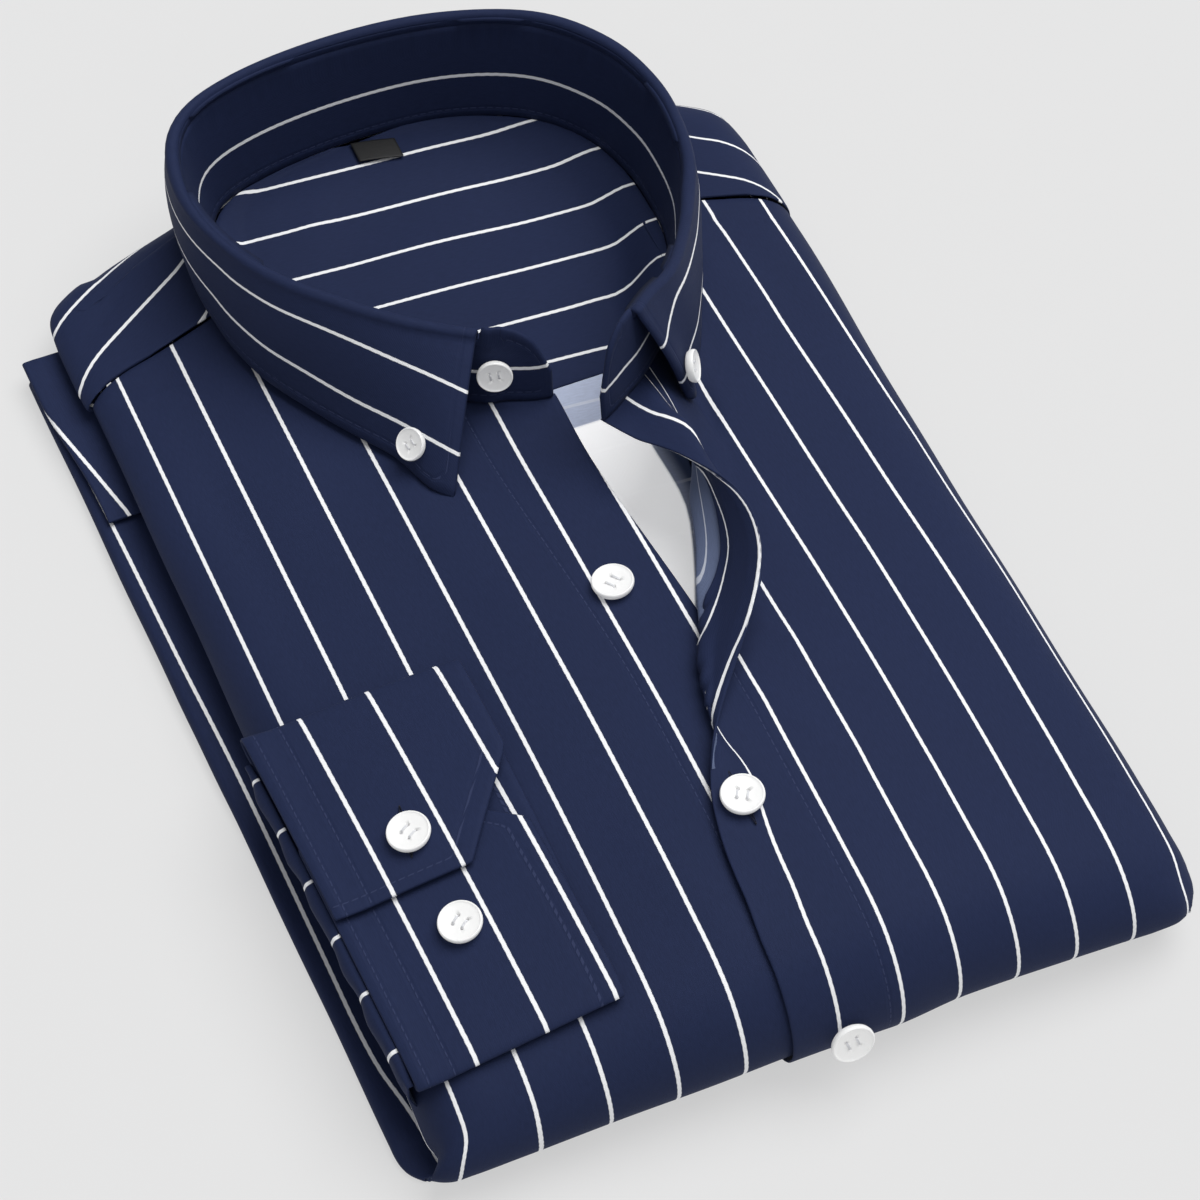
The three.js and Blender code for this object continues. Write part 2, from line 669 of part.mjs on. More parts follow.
function openPoint(row, part) {
  const alongRow = (p) => {
    const table = Array.from({ length: openFront.length + 1 }, (_, k) => openControl(k, p));
    return {
      x: readRow(table, "x", row),
      y: readRow(table, "y", row),
      z: readRow(table, "z", row),
    };
  };
  const section = [0, 1, 2, 3].map(alongRow);
  return new THREE.Vector3(readRow(section, "x", part), readRow(section, "y", part), readRow(section, "z", part));
}

const openParts = [0, 0.3, 0.65, 1, 1.35, 1.7, 2, 2.3, 2.65, 3];
const openRows = [0, 0.35, 0.7, 1, 1.5, 2, 2.5, 3, 3.5, 4, 4.5, 5, 5.5, 6, 6.5, 7, 7.5, 8, 8.5, 9, 10, 11, 12];

function makeButtonholeFront() {
  const flat = [0.12, 0.28, 0.46, 0.64, 0.82];
  const angles = [...sideAngles].reverse();
  const beyond = flat.length + angles.length;
  const xOf = (start, k, y, foldAngle = 90) => {
    if (k < flat.length) return { x: mix(start, rightAt(y) - sideTurn, flat[k]), across: onTop };
    const across = sideTurnAt(angles[k - flat.length], foldAngle);
    return { x: rightAt(y) - sideTurn * across.inset, across };
  };
  const grid = openRows.map((row) => {
    const line = openParts.map((part) => openPoint(row, part));
    const start = line[line.length - 1];
    const fade = 1 - smooth(0, 7, row);
    for (let k = 0; k < beyond; k++) {
      const { x, across } = xOf(start.x, k, start.y + 60 * (1 - row / 12));
      const top = frontTop(x, 1);
      const neckStart = neckPoint(collar.length - 6);
      const y = start.y + (top.y - neckStart.y) * fade;
      const lift = neckLift(x, y, top) + overlapAt(x);
      line.push(bodyPoint(x, y, across, onTop, liftOfUnderside, lift));
    }
    return line;
  });
  for (const angle of [90, ...foldAngles]) {
    const along = turn(angle);
    const edge = openFront[openFront.length - 1];
    const start = edge.px;
    const columns = [
      ...openParts.map((part) => ({ x: mix(edge.ex - 1, start, part / 3), across: onTop })),
      ...Array.from({ length: beyond }, (_, k) => xOf(start, k, bottomFold, angle)),
    ];
    grid.push(
      columns.map(({ x, across }) => {
        const y = bottomAt(x) + (foldTurn + overlapAt(x)) * along.inset - overlapAt(x);
        return bodyPoint(x, y, across, along, liftOfUnderside - 0.8 * overlapAt(x) * along.down, overlapAt(x));
      }),
    );
  }
  grid.reverse();
  add("front_buttonhole_side", wall(grid, bodyCloth), cloth);

  // the placket's own facing, on the inside of the opened edge
  const facingGrid = openRows
    .filter((row) => row <= 8.5)
    .map((row) => [0.04, 0.3, 0.65, 1, 1.35, 1.7, 2, 2.25].map((part) => openPoint(Math.max(0.08, row), part)));
  facingGrid.reverse();
  const face = moved(facingGrid, -bodyCloth - seamGap);
  add("placket_facing", wallBetween(face, moved(facingGrid, -bodyCloth - seamGap - facingCloth)), cloth);
}

// ---- the folded layers under it all ----
// A ring of the core: how steep its rounded side is there, how high, and how far in from the faces.
const coreRings = [
  { angle: 90, margin: 3.2 },
  { angle: 62, margin: 3.2 },
  { angle: 38, margin: 3.2 },
  { angle: 16, margin: 3.2 },
  { angle: -4, margin: 3.5 },
  { angle: -24, margin: 4.4 },
  { angle: -44, margin: 3.4 },
  { angle: -52, margin: 4.6 },
  { angle: -60, margin: 3.2 },
  { angle: -68, margin: 4.6 },
  { angle: -76, margin: 2.6 },
  { angle: -90, margin: 3.2 },
];

function makeFoldedLayers() {
  const ys = [-112, -92, -72, -53, -48, -38, -25, -8, 10, 30, 50, 66, 76, 84, 92, 104, 120, 140, 160, 176, 187, 194.6];
  const across = [0, 0.4, 0.75, 1];
  const inside = [0.05, 0.14, 0.28, 0.42, 0.58, 0.72, 0.86, 0.95];
  // level of the core at each column: 0 is under the fronts, 1 is under the lining
  const depths = [0, 0, 0, 0, 1, ...inside.map(() => 1), 1, 0, 0, 0, 0];
  const count = depths.length;
  const planRow = (y, first, last) => {
    const hollow = hollowSides(Math.min(193.5, Math.max(-45, y)));
    const low = leftAt(Math.min(y, 165)) + sideTurn + 2.6;
    const high = rightAt(Math.min(y, 165)) - sideTurn - 2.6;
    const xs = [
      ...across.map((t) => mix(low, hollow.left - 3.8, t)),
      hollow.left - 1.9,
      ...inside.map((t) => mix(hollow.left - 1, hollow.right + 1, t)),
      hollow.right + 1.9,
      ...[...across].reverse().map((t) => mix(high, hollow.right + 3.8, t)),
    ];
    return xs.map((x, i) => {
      const edge = i === 0 || i === count - 1;
      if (first) return { x: x + (i === 0 ? 3 : i === count - 1 ? -3 : 0), y: bottomAt(x) + foldTurn + 2.6 };
      const limit = shoulderAt(x) - shoulderTurnAt(x) - 1.6;
      const topRow = Math.min(limit, edge ? 164 : limit);
      return { x, y: last ? topRow : Math.min(y, topRow - 1.5) };
    });
  };
  const lines = [
    planRow(-118, true, false),
    ...ys.map((y) => planRow(y, false, false)),
    planRow(196, false, true),
  ];
  // rows squeezed against the shoulder keep their order
  for (let i = 0; i < count; i++) {
    const top = lines[lines.length - 1][i].y;
    const free = lines.findIndex((line, j) => j > 0 && line[i].y > top - 8);
    const rowsLeft = lines.length - 1 - free;
    for (let j = free; j < lines.length - 1 && free > 0; j++) {
      lines[j][i].y = mix(lines[free - 1][i].y, top, (j - free + 1) / (rowsLeft + 1));
    }
  }
  const rows = lines.map((line) =>
    line.map(({ x, y }, i) => {
      const high = topHeight(x, y) - coreGap - 1.6 * smooth(178, 188, y);
      const inY = smooth(-51, -48, y) * smooth(195.6, 194.8, y);
      const hollow = insideFloor(Math.min(193.5, y)) - bodyCloth - 1.1;
      return new THREE.Vector3(x, y, mix(high, Math.min(high, hollow), depths[i] * inY));
    }),
  );
  const lastRow = rows.length - 1;
  const rim = [];
  for (let i = 0; i < count; i++) rim.push({ j: 0, i, kind: "fold" });
  for (let j = 1; j < lastRow; j++) rim.push({ j, i: count - 1, kind: "right" });
  for (let i = count - 1; i >= 0; i--) rim.push({ j: lastRow, i, kind: "shoulder" });
  for (let j = lastRow - 1; j > 0; j--) rim.push({ j, i: 0, kind: "left" });
  const points = rows.flat();
  const triangles = [];
  const at = (j, i) => j * count + i;
  for (let j = 0; j < lastRow; j++) {
    for (let i = 0; i < count - 1; i++) {
      triangles.push(at(j, i), at(j, i + 1), at(j + 1, i + 1), at(j, i), at(j + 1, i + 1), at(j + 1, i));
    }
  }
  const ringPoint = ({ j, i, kind }, ring) => {
    const start = rows[j][i];
    const { inset, up, down } = turn(ring.angle);
    const corner = i === 0 || i === count - 1;
    const { x, y } = start;
    const width = kind === "fold" ? foldTurn : kind === "shoulder" ? shoulderTurnAt(x) : sideTurn;
    const reach = inset * width + ring.margin * (kind === "fold" && ring.angle < -40 ? 1.4 : 1);
    const sideReach = corner && kind !== "left" && kind !== "right" ? inset * sideTurn + ring.margin + 2.5 : 0;
    let px = x;
    let py = y;
    if (kind === "right" || (sideReach && i > 0)) px = rightAt(Math.min(y, 165)) - (sideReach || reach);
    if (kind === "left" || (sideReach && i === 0)) px = leftAt(Math.min(y, 165)) + (sideReach || reach);
    if (kind === "fold") py = bottomAt(x) + reach + (corner ? 3 : 0);
    if (kind === "shoulder") py = shoulderAt(Math.max(-101, Math.min(109, px))) - reach - (corner ? 3 : 0);
    const top = start.z;
    const onSleeve = kind === "left" ? sleeveStack : 0;
    const middle = mix(onSleeve, topHeight(x, y), middleShare);
    const keepOff = kind === "left" ? (ring.angle < -10 ? 4.6 : 0.7) : 0;
    return new THREE.Vector3(px + keepOff, py, middle + (top - middle) * up - middle * down);
  };
  const rings = [rim.map(({ j, i }) => at(j, i))];
  for (const ring of coreRings.slice(1)) {
    rings.push(
      rim.map((place) => {
        points.push(ringPoint(place, ring));
        return points.length - 1;
      }),
    );
  }
  for (let r = 0; r < rings.length - 1; r++) {
    for (let k = 0; k < rim.length; k++) {
      const n = (k + 1) % rim.length;
      triangles.push(rings[r][k], rings[r + 1][k], rings[r + 1][n], rings[r][k], rings[r + 1][n], rings[r][n]);
    }
  }
  const base = rings[rings.length - 1];
  points.push(new THREE.Vector3(5, 20, 0));
  const middle = points.length - 1;
  for (let k = 0; k < base.length; k++) triangles.push(base[k], middle, base[(k + 1) % base.length]);
  add("folded_layers", geometryOf(points, triangles), cloth);
}

// ---- the right sleeve, folded along the left side, and its cuff ----
// The folded sleeve's outer edge, with its rounded lower corner.
const sleeveEdge = [
  { y: 162.5, x: -117.9 },
  { y: 120, x: -116.9 },
  { y: 60, x: -115.6 },
  { y: 0, x: -114.2 },
  { y: -60, x: -112.8 },
  { y: -100, x: -111.8 },
  { y: -118, x: -111.4 },
  { y: -124, x: -111 },
  { y: -128, x: -109.4 },
  { y: -130.8, x: -106.8 },
];

function makeSleeve() {
  const strip = (name, ys, low, high, inner) => {
    const rings = ys.map((y) => {
      const x = read(sleeveEdge, "y", "x", y);
      const middle = (low(y) + high(y)) / 2;
      const half = (high(y) - low(y)) / 2;
      const round = steps(90, 270, 6).map((angle) => {
        const a = angle * degrees;
        return new THREE.Vector3(x + half + half * Math.cos(a), y, middle + half * Math.sin(a));
      });
      return [new THREE.Vector3(inner(y), y, high(y)), ...round, new THREE.Vector3(inner(y), y, low(y))];
    });
    add(name, loft(rings), cloth);
  };
  const underBody = (y) => leftAt(Math.min(y, 160)) + 9.3 - 7.3 * smooth(-112, -131, y);
  strip(
    "sleeve_folded",
    [-130.8, -128.5, -125, -119, -100, -70, -35, 0, 40, 80, 120, 158],
    () => 0,
    (y) => 5.2 + 0.6 * Math.sin(y / 26) - 3 * smooth(-116, -131, y),
    underBody,
  );
  strip(
    "sleeve_head_fold",
    [97, 99, 104, 118, 136, 154, 162.5],
    () => 6.4,
    (y) => 8.2 - 0.5 * smooth(120, 97, y),
    (y) => underBody(y) - 2.4,
  );
  // the sleeve's end, coming up round the side of the body into the cuff
  const ys = [-119.5, -117, -105, -90, -75, -60, -45, -30, -18, -12.5];
  const grid = ys.map((y) => {
    const side = leftAt(y);
    const seam = cuffSeamAt(y) - 0.5;
    const top = cuffBase(seam + 1, y);
    const tuck = 1 - smooth(-112, -119.5, y) * 0.4 - smooth(-22, -12.5, y) * 0.4;
    return [
      new THREE.Vector3(side - 0.6, y, sleeveStack + 2.5),
      new THREE.Vector3(side - 2.4, y, mix(sleeveStack, top, 0.4)),
      new THREE.Vector3(side - 3.4 * tuck - 0.4, y, mix(sleeveStack, top, 0.7)),
      new THREE.Vector3(seam - 2.8 * tuck, y, top + 0.3),
      new THREE.Vector3(seam - 1.5, y, top + 2.9 * tuck),
      new THREE.Vector3(seam, y, top + 3.3 * tuck),
    ];
  });
  add("sleeve_end", wall(grid.reverse().map((row) => row.reverse()), bodyCloth), cloth);
}

// A solid from open section loops of equal length.
function loft(rings) {
  const size = rings[0].length;
  const points = rings.flat();
  const triangles = [];
  for (let j = 0; j < rings.length - 1; j++) {
    for (let i = 0; i < size; i++) {
      const n = (i + 1) % size;
      const [a, b, c, d] = [j * size + i, j * size + n, (j + 1) * size + n, (j + 1) * size + i];
      triangles.push(a, c, b, a, d, c);
    }
  }
  const last = (rings.length - 1) * size;
  for (let i = 1; i < size - 1; i++) {
    triangles.push(0, i, i + 1);
    triangles.push(last, last + i + 1, last + i);
  }
  return geometryOf(points, triangles);
}

function cuffSeamAt(y) {
  return mix(cuffSeamTop, cuffSeamBottom, (-8 - y) / 116);
}

// The height of what the cuff lies on, carried on level past the body's rounded side.
function cuffBase(x, y) {
  return topHeight(Math.max(x, leftAt(y) + 6), y);
}

function makeCuff() {
  const length = cuffSection.length - 1;
  const at = steps(0, length, 46);
  const shares = [0, 0.25, 0.5, 0.7, 0.85, 1];
  const travelled = [0];
  for (let k = 1; k < at.length; k++) {
    const dy = readRow(cuffSection, "y", at[k]) - readRow(cuffSection, "y", at[k - 1]);
    const dz = readRow(cuffSection, "up", at[k]) - readRow(cuffSection, "up", at[k - 1]);
    travelled.push(travelled[k - 1] + Math.hypot(dy, dz));
  }
  const whole = travelled[travelled.length - 1];
  const hemAt = (k) => {
    // both ends of the band lose their outer corner
    const start = Math.max(0, 1 - travelled[k] / cuffMitreStart);
    const end = Math.max(0, 1 - (whole - travelled[k]) / cuffMitreEnd);
    const drawnIn = 3 * (1 - smooth(0, 70, travelled[k]));
    return cuffHem - cuffMitre * Math.max(start, end) - drawnIn;
  };
  const grid = shares.map((share) =>
    at.map((row, k) => {
      const y = readRow(cuffSection, "y", row);
      const up = readRow(cuffSection, "up", row);
      const x = mix(cuffSeamAt(y), hemAt(k), share);
      const skewed = y - cuffSkew * (x + 77) * smooth(-110, -20, y);
      return new THREE.Vector3(x, skewed, cuffBase(x, y) + up);
    }),
  );
  add("cuff", wallBetween(grid, moved(grid, -1.2)), cloth);
}

// ---- label and buttons ----
function makeLabel() {
  const grid = steps(184.6, 192.4, 3).map((y) =>
    steps(0.6, 13.8, 3).map((x) => new THREE.Vector3(x, y - 0.25 * (x - 7), insideTop(x, y) + 1.3)),
  );
  add("size_label", wall(grid, 0.8), labelBlack);
}

function buttonGeometry(radius) {
  const profile = [
    [0, 0],
    [radius * 0.72, 0],
    [radius * 0.96, buttonThick * 0.35],
    [radius, buttonThick * 0.7],
    [radius * 0.9, buttonThick],
    [radius * 0.72, buttonThick * 0.9],
    [radius * 0.6, buttonThick * 0.62],
    [0, buttonThick * 0.62],
  ].map(([r, z]) => new THREE.Vector2(r, z));
  return new THREE.LatheGeometry(profile, 16).rotateX(Math.PI / 2);
}

function addButton(name, radius, face, normal) {
  const mesh = add(name, buttonGeometry(radius), buttonWhite);
  mesh.position.copy(face).addScaledVector(normal, seamGap);
  mesh.quaternion.setFromUnitVectors(new THREE.Vector3(0, 0, 1), normal);
}

function surfaceNormal(surface, a, b, da, db) {
  const across = surface(a + da, b).sub(surface(a - da, b));
  const along = surface(a, b + db).sub(surface(a, b - db));
  return across.cross(along).normalize();
}

function makeButtons() {
  const top = (lift) => (x, y) => new THREE.Vector3(x, y, topHeight(x, y) + lift);
  const under = top(0.2);
  addButton("front_button_1", buttonRadius, under(1.9, -4.6), surfaceNormal(under, 1.9, -4.6, 4, 4));
  const upper = top(2.7);
  addButton("front_button_2", buttonRadius, upper(3.8, -84.2), surfaceNormal(upper, 3.8, -84.2, 4, 4));
  // the third button stands off the bottom fold on its thread
  const lowest = new THREE.Vector3(6.2, -146.9, 21.6);
  addButton("front_button_3", buttonRadius, lowest, new THREE.Vector3(-0.05, -0.95, 0.3).normalize());

  const stand = (row, height) => standPoint(row, height, stiffCloth);
  const standNormal = surfaceNormal(stand, 2.5, 11.5, 0.4, 3).negate();
  addButton("collar_stand_button", collarButtonRadius + 0.4, stand(2.5, 11.5).addScaledVector(standNormal, 0.3), standNormal);

  for (const [name, row, fall] of [["collar_point_button_right", 3.62, 0.8], ["collar_point_button_left", 21.5, 0.7]]) {
    const leaf = (r, f) => leafPoint(r, { roll: 180, fall: f });
    const normal = surfaceNormal(leaf, row, fall, 0.3, 0.1);
    addButton(name, collarButtonRadius, leaf(row, fall).addScaledVector(normal, 0.3), normal);
  }

  const cuffTop = (up) => (x, y) => new THREE.Vector3(x, y, cuffBase(x, y) + up);
  const tab = cuffTop(7.6);
  addButton("cuff_button_1", buttonRadius, tab(-79, -57), surfaceNormal(tab, -79, -57, 4, 4));
  const band = cuffTop(4.9);
  addButton("cuff_button_2", buttonRadius, band(-76.5, -86), surfaceNormal(band, -76.5, -86, 4, 4));
}

makeFoldedLayers();
makeButtonFront();
makeButtonholeFront();
makeYokes();
makeStand();
makeLeaf();
makeLabel();
makeSleeve();
makeCuff();
makeButtons();

export default shirt;
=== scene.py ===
import math

import bmesh
import bpy
import numpy as np
from mathutils import Matrix, Vector


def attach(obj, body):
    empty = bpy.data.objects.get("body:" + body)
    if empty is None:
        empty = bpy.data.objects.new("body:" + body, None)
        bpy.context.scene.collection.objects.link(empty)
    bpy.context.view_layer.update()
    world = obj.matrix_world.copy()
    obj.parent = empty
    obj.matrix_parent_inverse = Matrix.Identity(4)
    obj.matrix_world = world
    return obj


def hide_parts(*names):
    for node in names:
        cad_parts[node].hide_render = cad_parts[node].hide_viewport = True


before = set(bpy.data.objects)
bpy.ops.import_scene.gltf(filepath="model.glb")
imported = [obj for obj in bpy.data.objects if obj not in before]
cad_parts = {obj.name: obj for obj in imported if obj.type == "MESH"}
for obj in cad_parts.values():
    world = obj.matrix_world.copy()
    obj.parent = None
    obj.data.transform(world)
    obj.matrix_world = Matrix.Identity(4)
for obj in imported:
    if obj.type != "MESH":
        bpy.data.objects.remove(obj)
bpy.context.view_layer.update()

print("frame loaded")

# Lengths are millimetres in the drafting frame, which is centred on the line of the front buttons;
# groupShift carries them to the part's own frame.
groupShift = np.array([0.02, -28.72, 0.0])


# tables of the folded form
def table(names, *rows):
    return {name: [row[i] for row in rows] for i, name in enumerate(names.split())}


# the top's height along the shirt, and how it falls away to each side
ridge = table(
    "y high",
    (-150, 39), (-125, 42.5), (-90, 45), (-50, 45), (0, 41), (50, 36), (100, 31), (150, 26), (205, 19),
)
crown = table(
    "x fall",
    (-116, 19), (-100, 14), (-60, 7), (-20, 1.5), (5, 0), (40, 0.5), (70, 4), (100, 9), (116, 13),
)
sides = table(
    "y left right",
    (172, -105.4, 115.2), (160, -106.5, 116.4), (148, -106.8, 116.6), (134, -106, 116.4),
    (110, -105.6, 116.2), (70, -104.9, 114.2), (20, -104.7, 112.4), (-20, -104.5, 111.8),
    (-100, -104, 112.3), (-150, -104, 112.6),
)
yokeOutline = table(
    "x y",
    (-106, 133.5), (-106.8, 147), (-106.6, 161), (-104.6, 171.8), (-96, 178.4), (-80, 185.2),
    (-58, 191.8), (-28, 200), (5, 203.5), (38, 199.5), (68, 190.5), (88, 182), (104, 174.5),
    (113.5, 167), (116.4, 155), (116.6, 140), (116.3, 121),
)
shoulderLine = {name: values[3:14] for name, values in yokeOutline.items()}
yokeSeamLeft = table(
    "x y",
    (-106, 133.5), (-100, 136.3), (-92, 138.6), (-79, 141.2), (-67, 144.5), (-54, 147.5),
)
yokeSeamRight = table("x y", (73, 133), (88, 129), (104, 124.5), (116.4, 121))
# the neck seam from the button end of the stand round the back to its buttonhole end
collar = table(
    "x y z high lean deep flare trail",
    (14, 67, 37.4, 9, -14, 0, 0, 0),
    (9, 68.5, 36.8, 20, -14, 0, 0, 0),
    (2, 72, 36, 25, -14, 0, 0, 0),
    (-5, 75, 35, 26.5, -13, 40, 55, -3),
    (-21, 89, 32, 29, -8, 35.5, 43, -2),
    (-36, 106, 29, 32, -4, 33, 29, 0),
    (-47, 125, 26.5, 34, 2, 31.5, 17, 0),
    (-53, 146, 24, 36, 7, 31, 6, 0),
    (-53, 166, 22.5, 37, 11, 31, -1, 0),
    (-46, 184, 21.5, 38, 13, 31, 0, 0),
    (-28, 192, 21, 38, 14.5, 31, 1, 0),
    (0, 195, 21, 38, 13, 31, 2, 0),
    (30, 193, 21, 38, 10.5, 31, 3, 0),
    (54, 183, 21, 38, 12, 31, 3, 0),
    (68, 167, 21.2, 37.5, 13, 31, 2, 0),
    (73.5, 150, 22, 37, 13, 31, 1, 0),
    (74, 134, 24, 36, 12, 31, 0, 0),
    (72, 117, 27.5, 34.5, 9, 31, 0, 0),
    (67, 102, 32, 32, 6, 31, 3, 0),
    (60, 87, 38, 30, 4, 32, 7, 0),
    (50, 70, 44.5, 30, 1, 35, 11, 2),
    (41, 59, 49, 30.5, -4, 39, 15, 5),
    (34, 52, 51.5, 30.5, -5, 39.8, 17, 7),
    (28, 47.5, 53, 28, -6, 0, 0, 0),
    (23, 44, 53.6, 22, -6, 0, 0, 0),
    (18.5, 41.5, 54, 9, -4, 0, 0, 0),
)
collarRows = 25
# the opened upper front: its edge e, the crest m of its roll, the crease c and the flat beyond p
openFront = table(
    "ex ey eUp mx my mUp cx cy cUp px py",
    (25, 30, 16.5, 35, 38, 18.8, 42, 42, 11.2, 52, 50),
    (31, 22, 17.6, 39.5, 29, 18.6, 40, 24, 6.2, 52, 33),
    (38.5, 5, 20.6, 39, 12.5, 14.5, 34, 14, 3.4, 49, 18),
    (40.5, -9, 21.8, 35, -6, 10.5, 28, -3, 3.2, 45, -2),
    (37.5, -23.5, 20.2, 29.5, -20, 8.6, 22, -17, 3.2, 41, -17),
    (29, -37, 15.8, 22, -33, 7.4, 17, -31, 3.2, 37, -32),
    (20, -47, 11.2, 15.5, -44, 6.2, 12.5, -42, 3.4, 33, -44),
    (11, -57, 7, 9.2, -55.5, 4.8, 9, -54.5, 3.4, 31, -56),
    (3, -68, 4.8, 5, -67.5, 3.6, 10, -67, 3, 30, -68),
    (-3, -80, 3.4, 6, -80, 2.6, 16, -80, 2.2, 30, -80),
    (-6.5, -96, 2.6, 5, -96, 2.2, 17, -96, 2, 30, -96),
    (-7.5, -111, 2.4, 5, -111, 2, 17, -111, 1.9, 30, -111),
)
# the turned cuff in section: from under its flap, round both folds, to the flap's end
cuffSection = table(
    "y up",
    (-47, 4.4), (-64, 4.5), (-84, 4.6), (-110, 4.4), (-119.5, 4.1), (-122, 2.6), (-119.5, 0.9),
    (-110, 0.4), (-65, 0.4), (-18, 0.4), (-9.5, 1), (-7, 3.4), (-9.5, 5.8), (-18, 6.4), (-42, 6.8),
    (-58, 7.1), (-71, 7),
)
# the sides of the open hollow below the neck
openSides = table(
    "y left right",
    (88, -22, 61), (82, -13, 58), (74, -3, 55), (66, 8, 52),
    (50, 10, 48), (15, 11, 43), (-20, 14, 34), (-46, 17, 26),
)
# the folded sleeve's outer edge
sleeveEdge = table(
    "y x",
    (162.5, -117.9), (120, -116.9), (60, -115.6), (0, -114.2), (-60, -112.8), (-100, -111.8),
    (-118, -111.4), (-124, -111), (-128, -109.4), (-130.8, -106.8),
)

# the edge of the pale wrong side inside the opening, which glows with painted light; beyond it the cloth carries
# painted shade
wrongEdge = table(
    "y x",
    (84, 37.5), (66, 38), (54, 38.6), (46, 39.3), (34, 40),
    (23, 37.8), (7, 32.2), (-8, 25.6), (-22, 19.5), (-44, 10),
)

# where stripes cross the collar leaf, as distances from its roll
leafStripes = table(
    "row upper lower",
    (3.1, 18, 35.7), (3.8, 13.4, 29.8), (4.5, 10.7, 26.9), (5.3, 9.5, 24), (6.2, 9.2, 22.2),
    (7, 9.2, 21), (9, 10, 22), (12, 11, 25), (16, 10, 25), (18.4, 8.6, 24),
    (19.3, 8, 24.3), (20.3, 8.4, 28.2), (21, 13.6, 32), (21.8, 17.6, 35), (22, 18, 35.7),
)
# the placket's facing on the opened front: its width and the stripes on it, as distances from the folded edge
facingPlan = table(
    "row wide first second",
    (0, 20, 0.5, 19), (2.4, 16, 0.4, 17), (3.2, 12, 0.4, 11), (4.2, 14.8, 0.4, 11), (5, 18.5, 0.4, 14.5),
    (5.8, 21, 0.4, 15.6), (6.5, 21.5, 0.5, 16), (7.2, 20, 1.6, 18), (8.5, 18, 2.3, 20), (9.5, 12, 3.5, 21),
)
# how far from the opened edge the front's first stripe lies
outerStripe = table(
    "row at",
    (0, 11.5), (0.8, 9.4), (1.9, 9.2), (3, 8.8), (5, 10.5), (7, 12.8), (12, 12.8),
)
# where a stripe runs down the folded sleeve
sleeveStripe = table(
    "y x",
    (160, -114.7), (132, -113.9), (103, -112.6), (67, -111.4), (46, -110.7),
    (18, -109.3), (-4, -108.4), (-27, -107.8), (-61, -107.3), (-84, -107),
    (-93, -106.4), (-104, -105.4), (-112, -103.5), (-124, -101.9), (-131, -101),
)

folded = {
    "bottom": -143.5, "slant": -0.038, "foldTurn": 21, "sideTurn": 12, "shoulderTurn": 11, "neckTurn": 4,
    "middle": 0.47, "corner": 11, "spread": 6, "sleeveStack": 8.6, "underside": 1.4,
    "overlap": 1.7, "edgeTop": 15, "edgeBottom": 20, "inside": 18.4,
}
cloth = {"pitch": 18.2, "stripe": 1.08, "body": 0.6, "stiff": 1.5, "gap": 0.3}


# reading the tables
def smooth(low, high, value):
    t = np.clip((np.asarray(value, float) - low) / (high - low), 0, 1)
    return t * t * (3 - 2 * t)


def mix(a, b, t):
    return a + (b - a) * t


def steps(low, high, count):
    return [low + (high - low) * k / count for k in range(count + 1)]


def hermite(a, b, tangentA, tangentB, t):
    t2, t3 = t * t, t * t * t
    return ((2 * t3 - 3 * t2 + 1) * a + (t3 - 2 * t2 + t) * tangentA
            + (3 * t2 - 2 * t3) * b + (t3 - t2) * tangentB)


def read(rows, key, column, at):
    keys, values = rows[key], rows[column]
    last = len(keys) - 1
    rising = keys[last] > keys[0]
    i = 0
    while i < last - 1 and (keys[i + 1] < at if rising else keys[i + 1] > at):
        i += 1

    def slope(k):
        a, b = max(0, k - 1), min(last, k + 1)
        return (values[b] - values[a]) / (keys[b] - keys[a])

    span = keys[i + 1] - keys[i]
    t = min(1.0, max(0.0, (at - keys[i]) / span))
    return hermite(values[i], values[i + 1], slope(i) * span, slope(i + 1) * span, t)


def readRow(values, at):
    last = len(values) - 1
    i = min(last - 1, max(0, math.floor(at)))
    v = [values[min(last, max(0, i + k))] for k in (-1, 0, 1, 2)]
    return hermite(v[1], v[2], (v[2] - v[0]) / 2, (v[3] - v[1]) / 2, at - i)


def topHeight(x, y):
    high = read(ridge, "y", "high", y)
    return high - read(crown, "x", "fall", x) * high / 45


def leftAt(y):
    return read(sides, "y", "left", y)


def rightAt(y):
    return read(sides, "y", "right", y)


def bottomAt(x):
    return folded["bottom"] + folded["slant"] * x


def shoulderTurnAt(x):
    return mix(folded["neckTurn"], folded["shoulderTurn"], smooth(30, 75, abs(x - 5)))


def rounded(x, y):
    corner = folded["corner"]
    left, right = leftAt(y), rightAt(y)
    onLeft = x < (left + right) / 2
    u = (left - folded["spread"] + corner - x) / corner if onLeft else (x - right) / corner + 1
    v = (bottomAt(x) + corner - y) / corner
    if u <= 0 or v <= 0:
        return x, y
    pull = (1 - max(u, v) / math.hypot(u, v)) * corner
    return x + (1 if onLeft else -1) * u * pull, y + v * pull


def turn(angle):
    a = math.radians(angle)
    return {"inset": 1 - math.cos(a), "up": max(0, math.sin(a)), "down": max(0, -math.sin(a))}


onTop = {"inset": 1, "up": 1, "down": 0}


def bodyPoint(x, y, across, along, floor, lift=0):
    flat = topHeight(x, y)
    middle = mix(floor, flat, folded["middle"])
    down = max(across["down"], along["down"])
    z = middle + (flat + lift - middle) * across["up"] * along["up"] - (middle - floor) * down
    return np.array([*rounded(x, y), z])


# grids of points: rows, columns, and x y z + across along seam run
def lengths(points):
    return np.linalg.norm(np.diff(points[..., :3], axis=0), axis=-1)


def travel(points):
    return np.concatenate([[0], np.cumsum(lengths(points))])


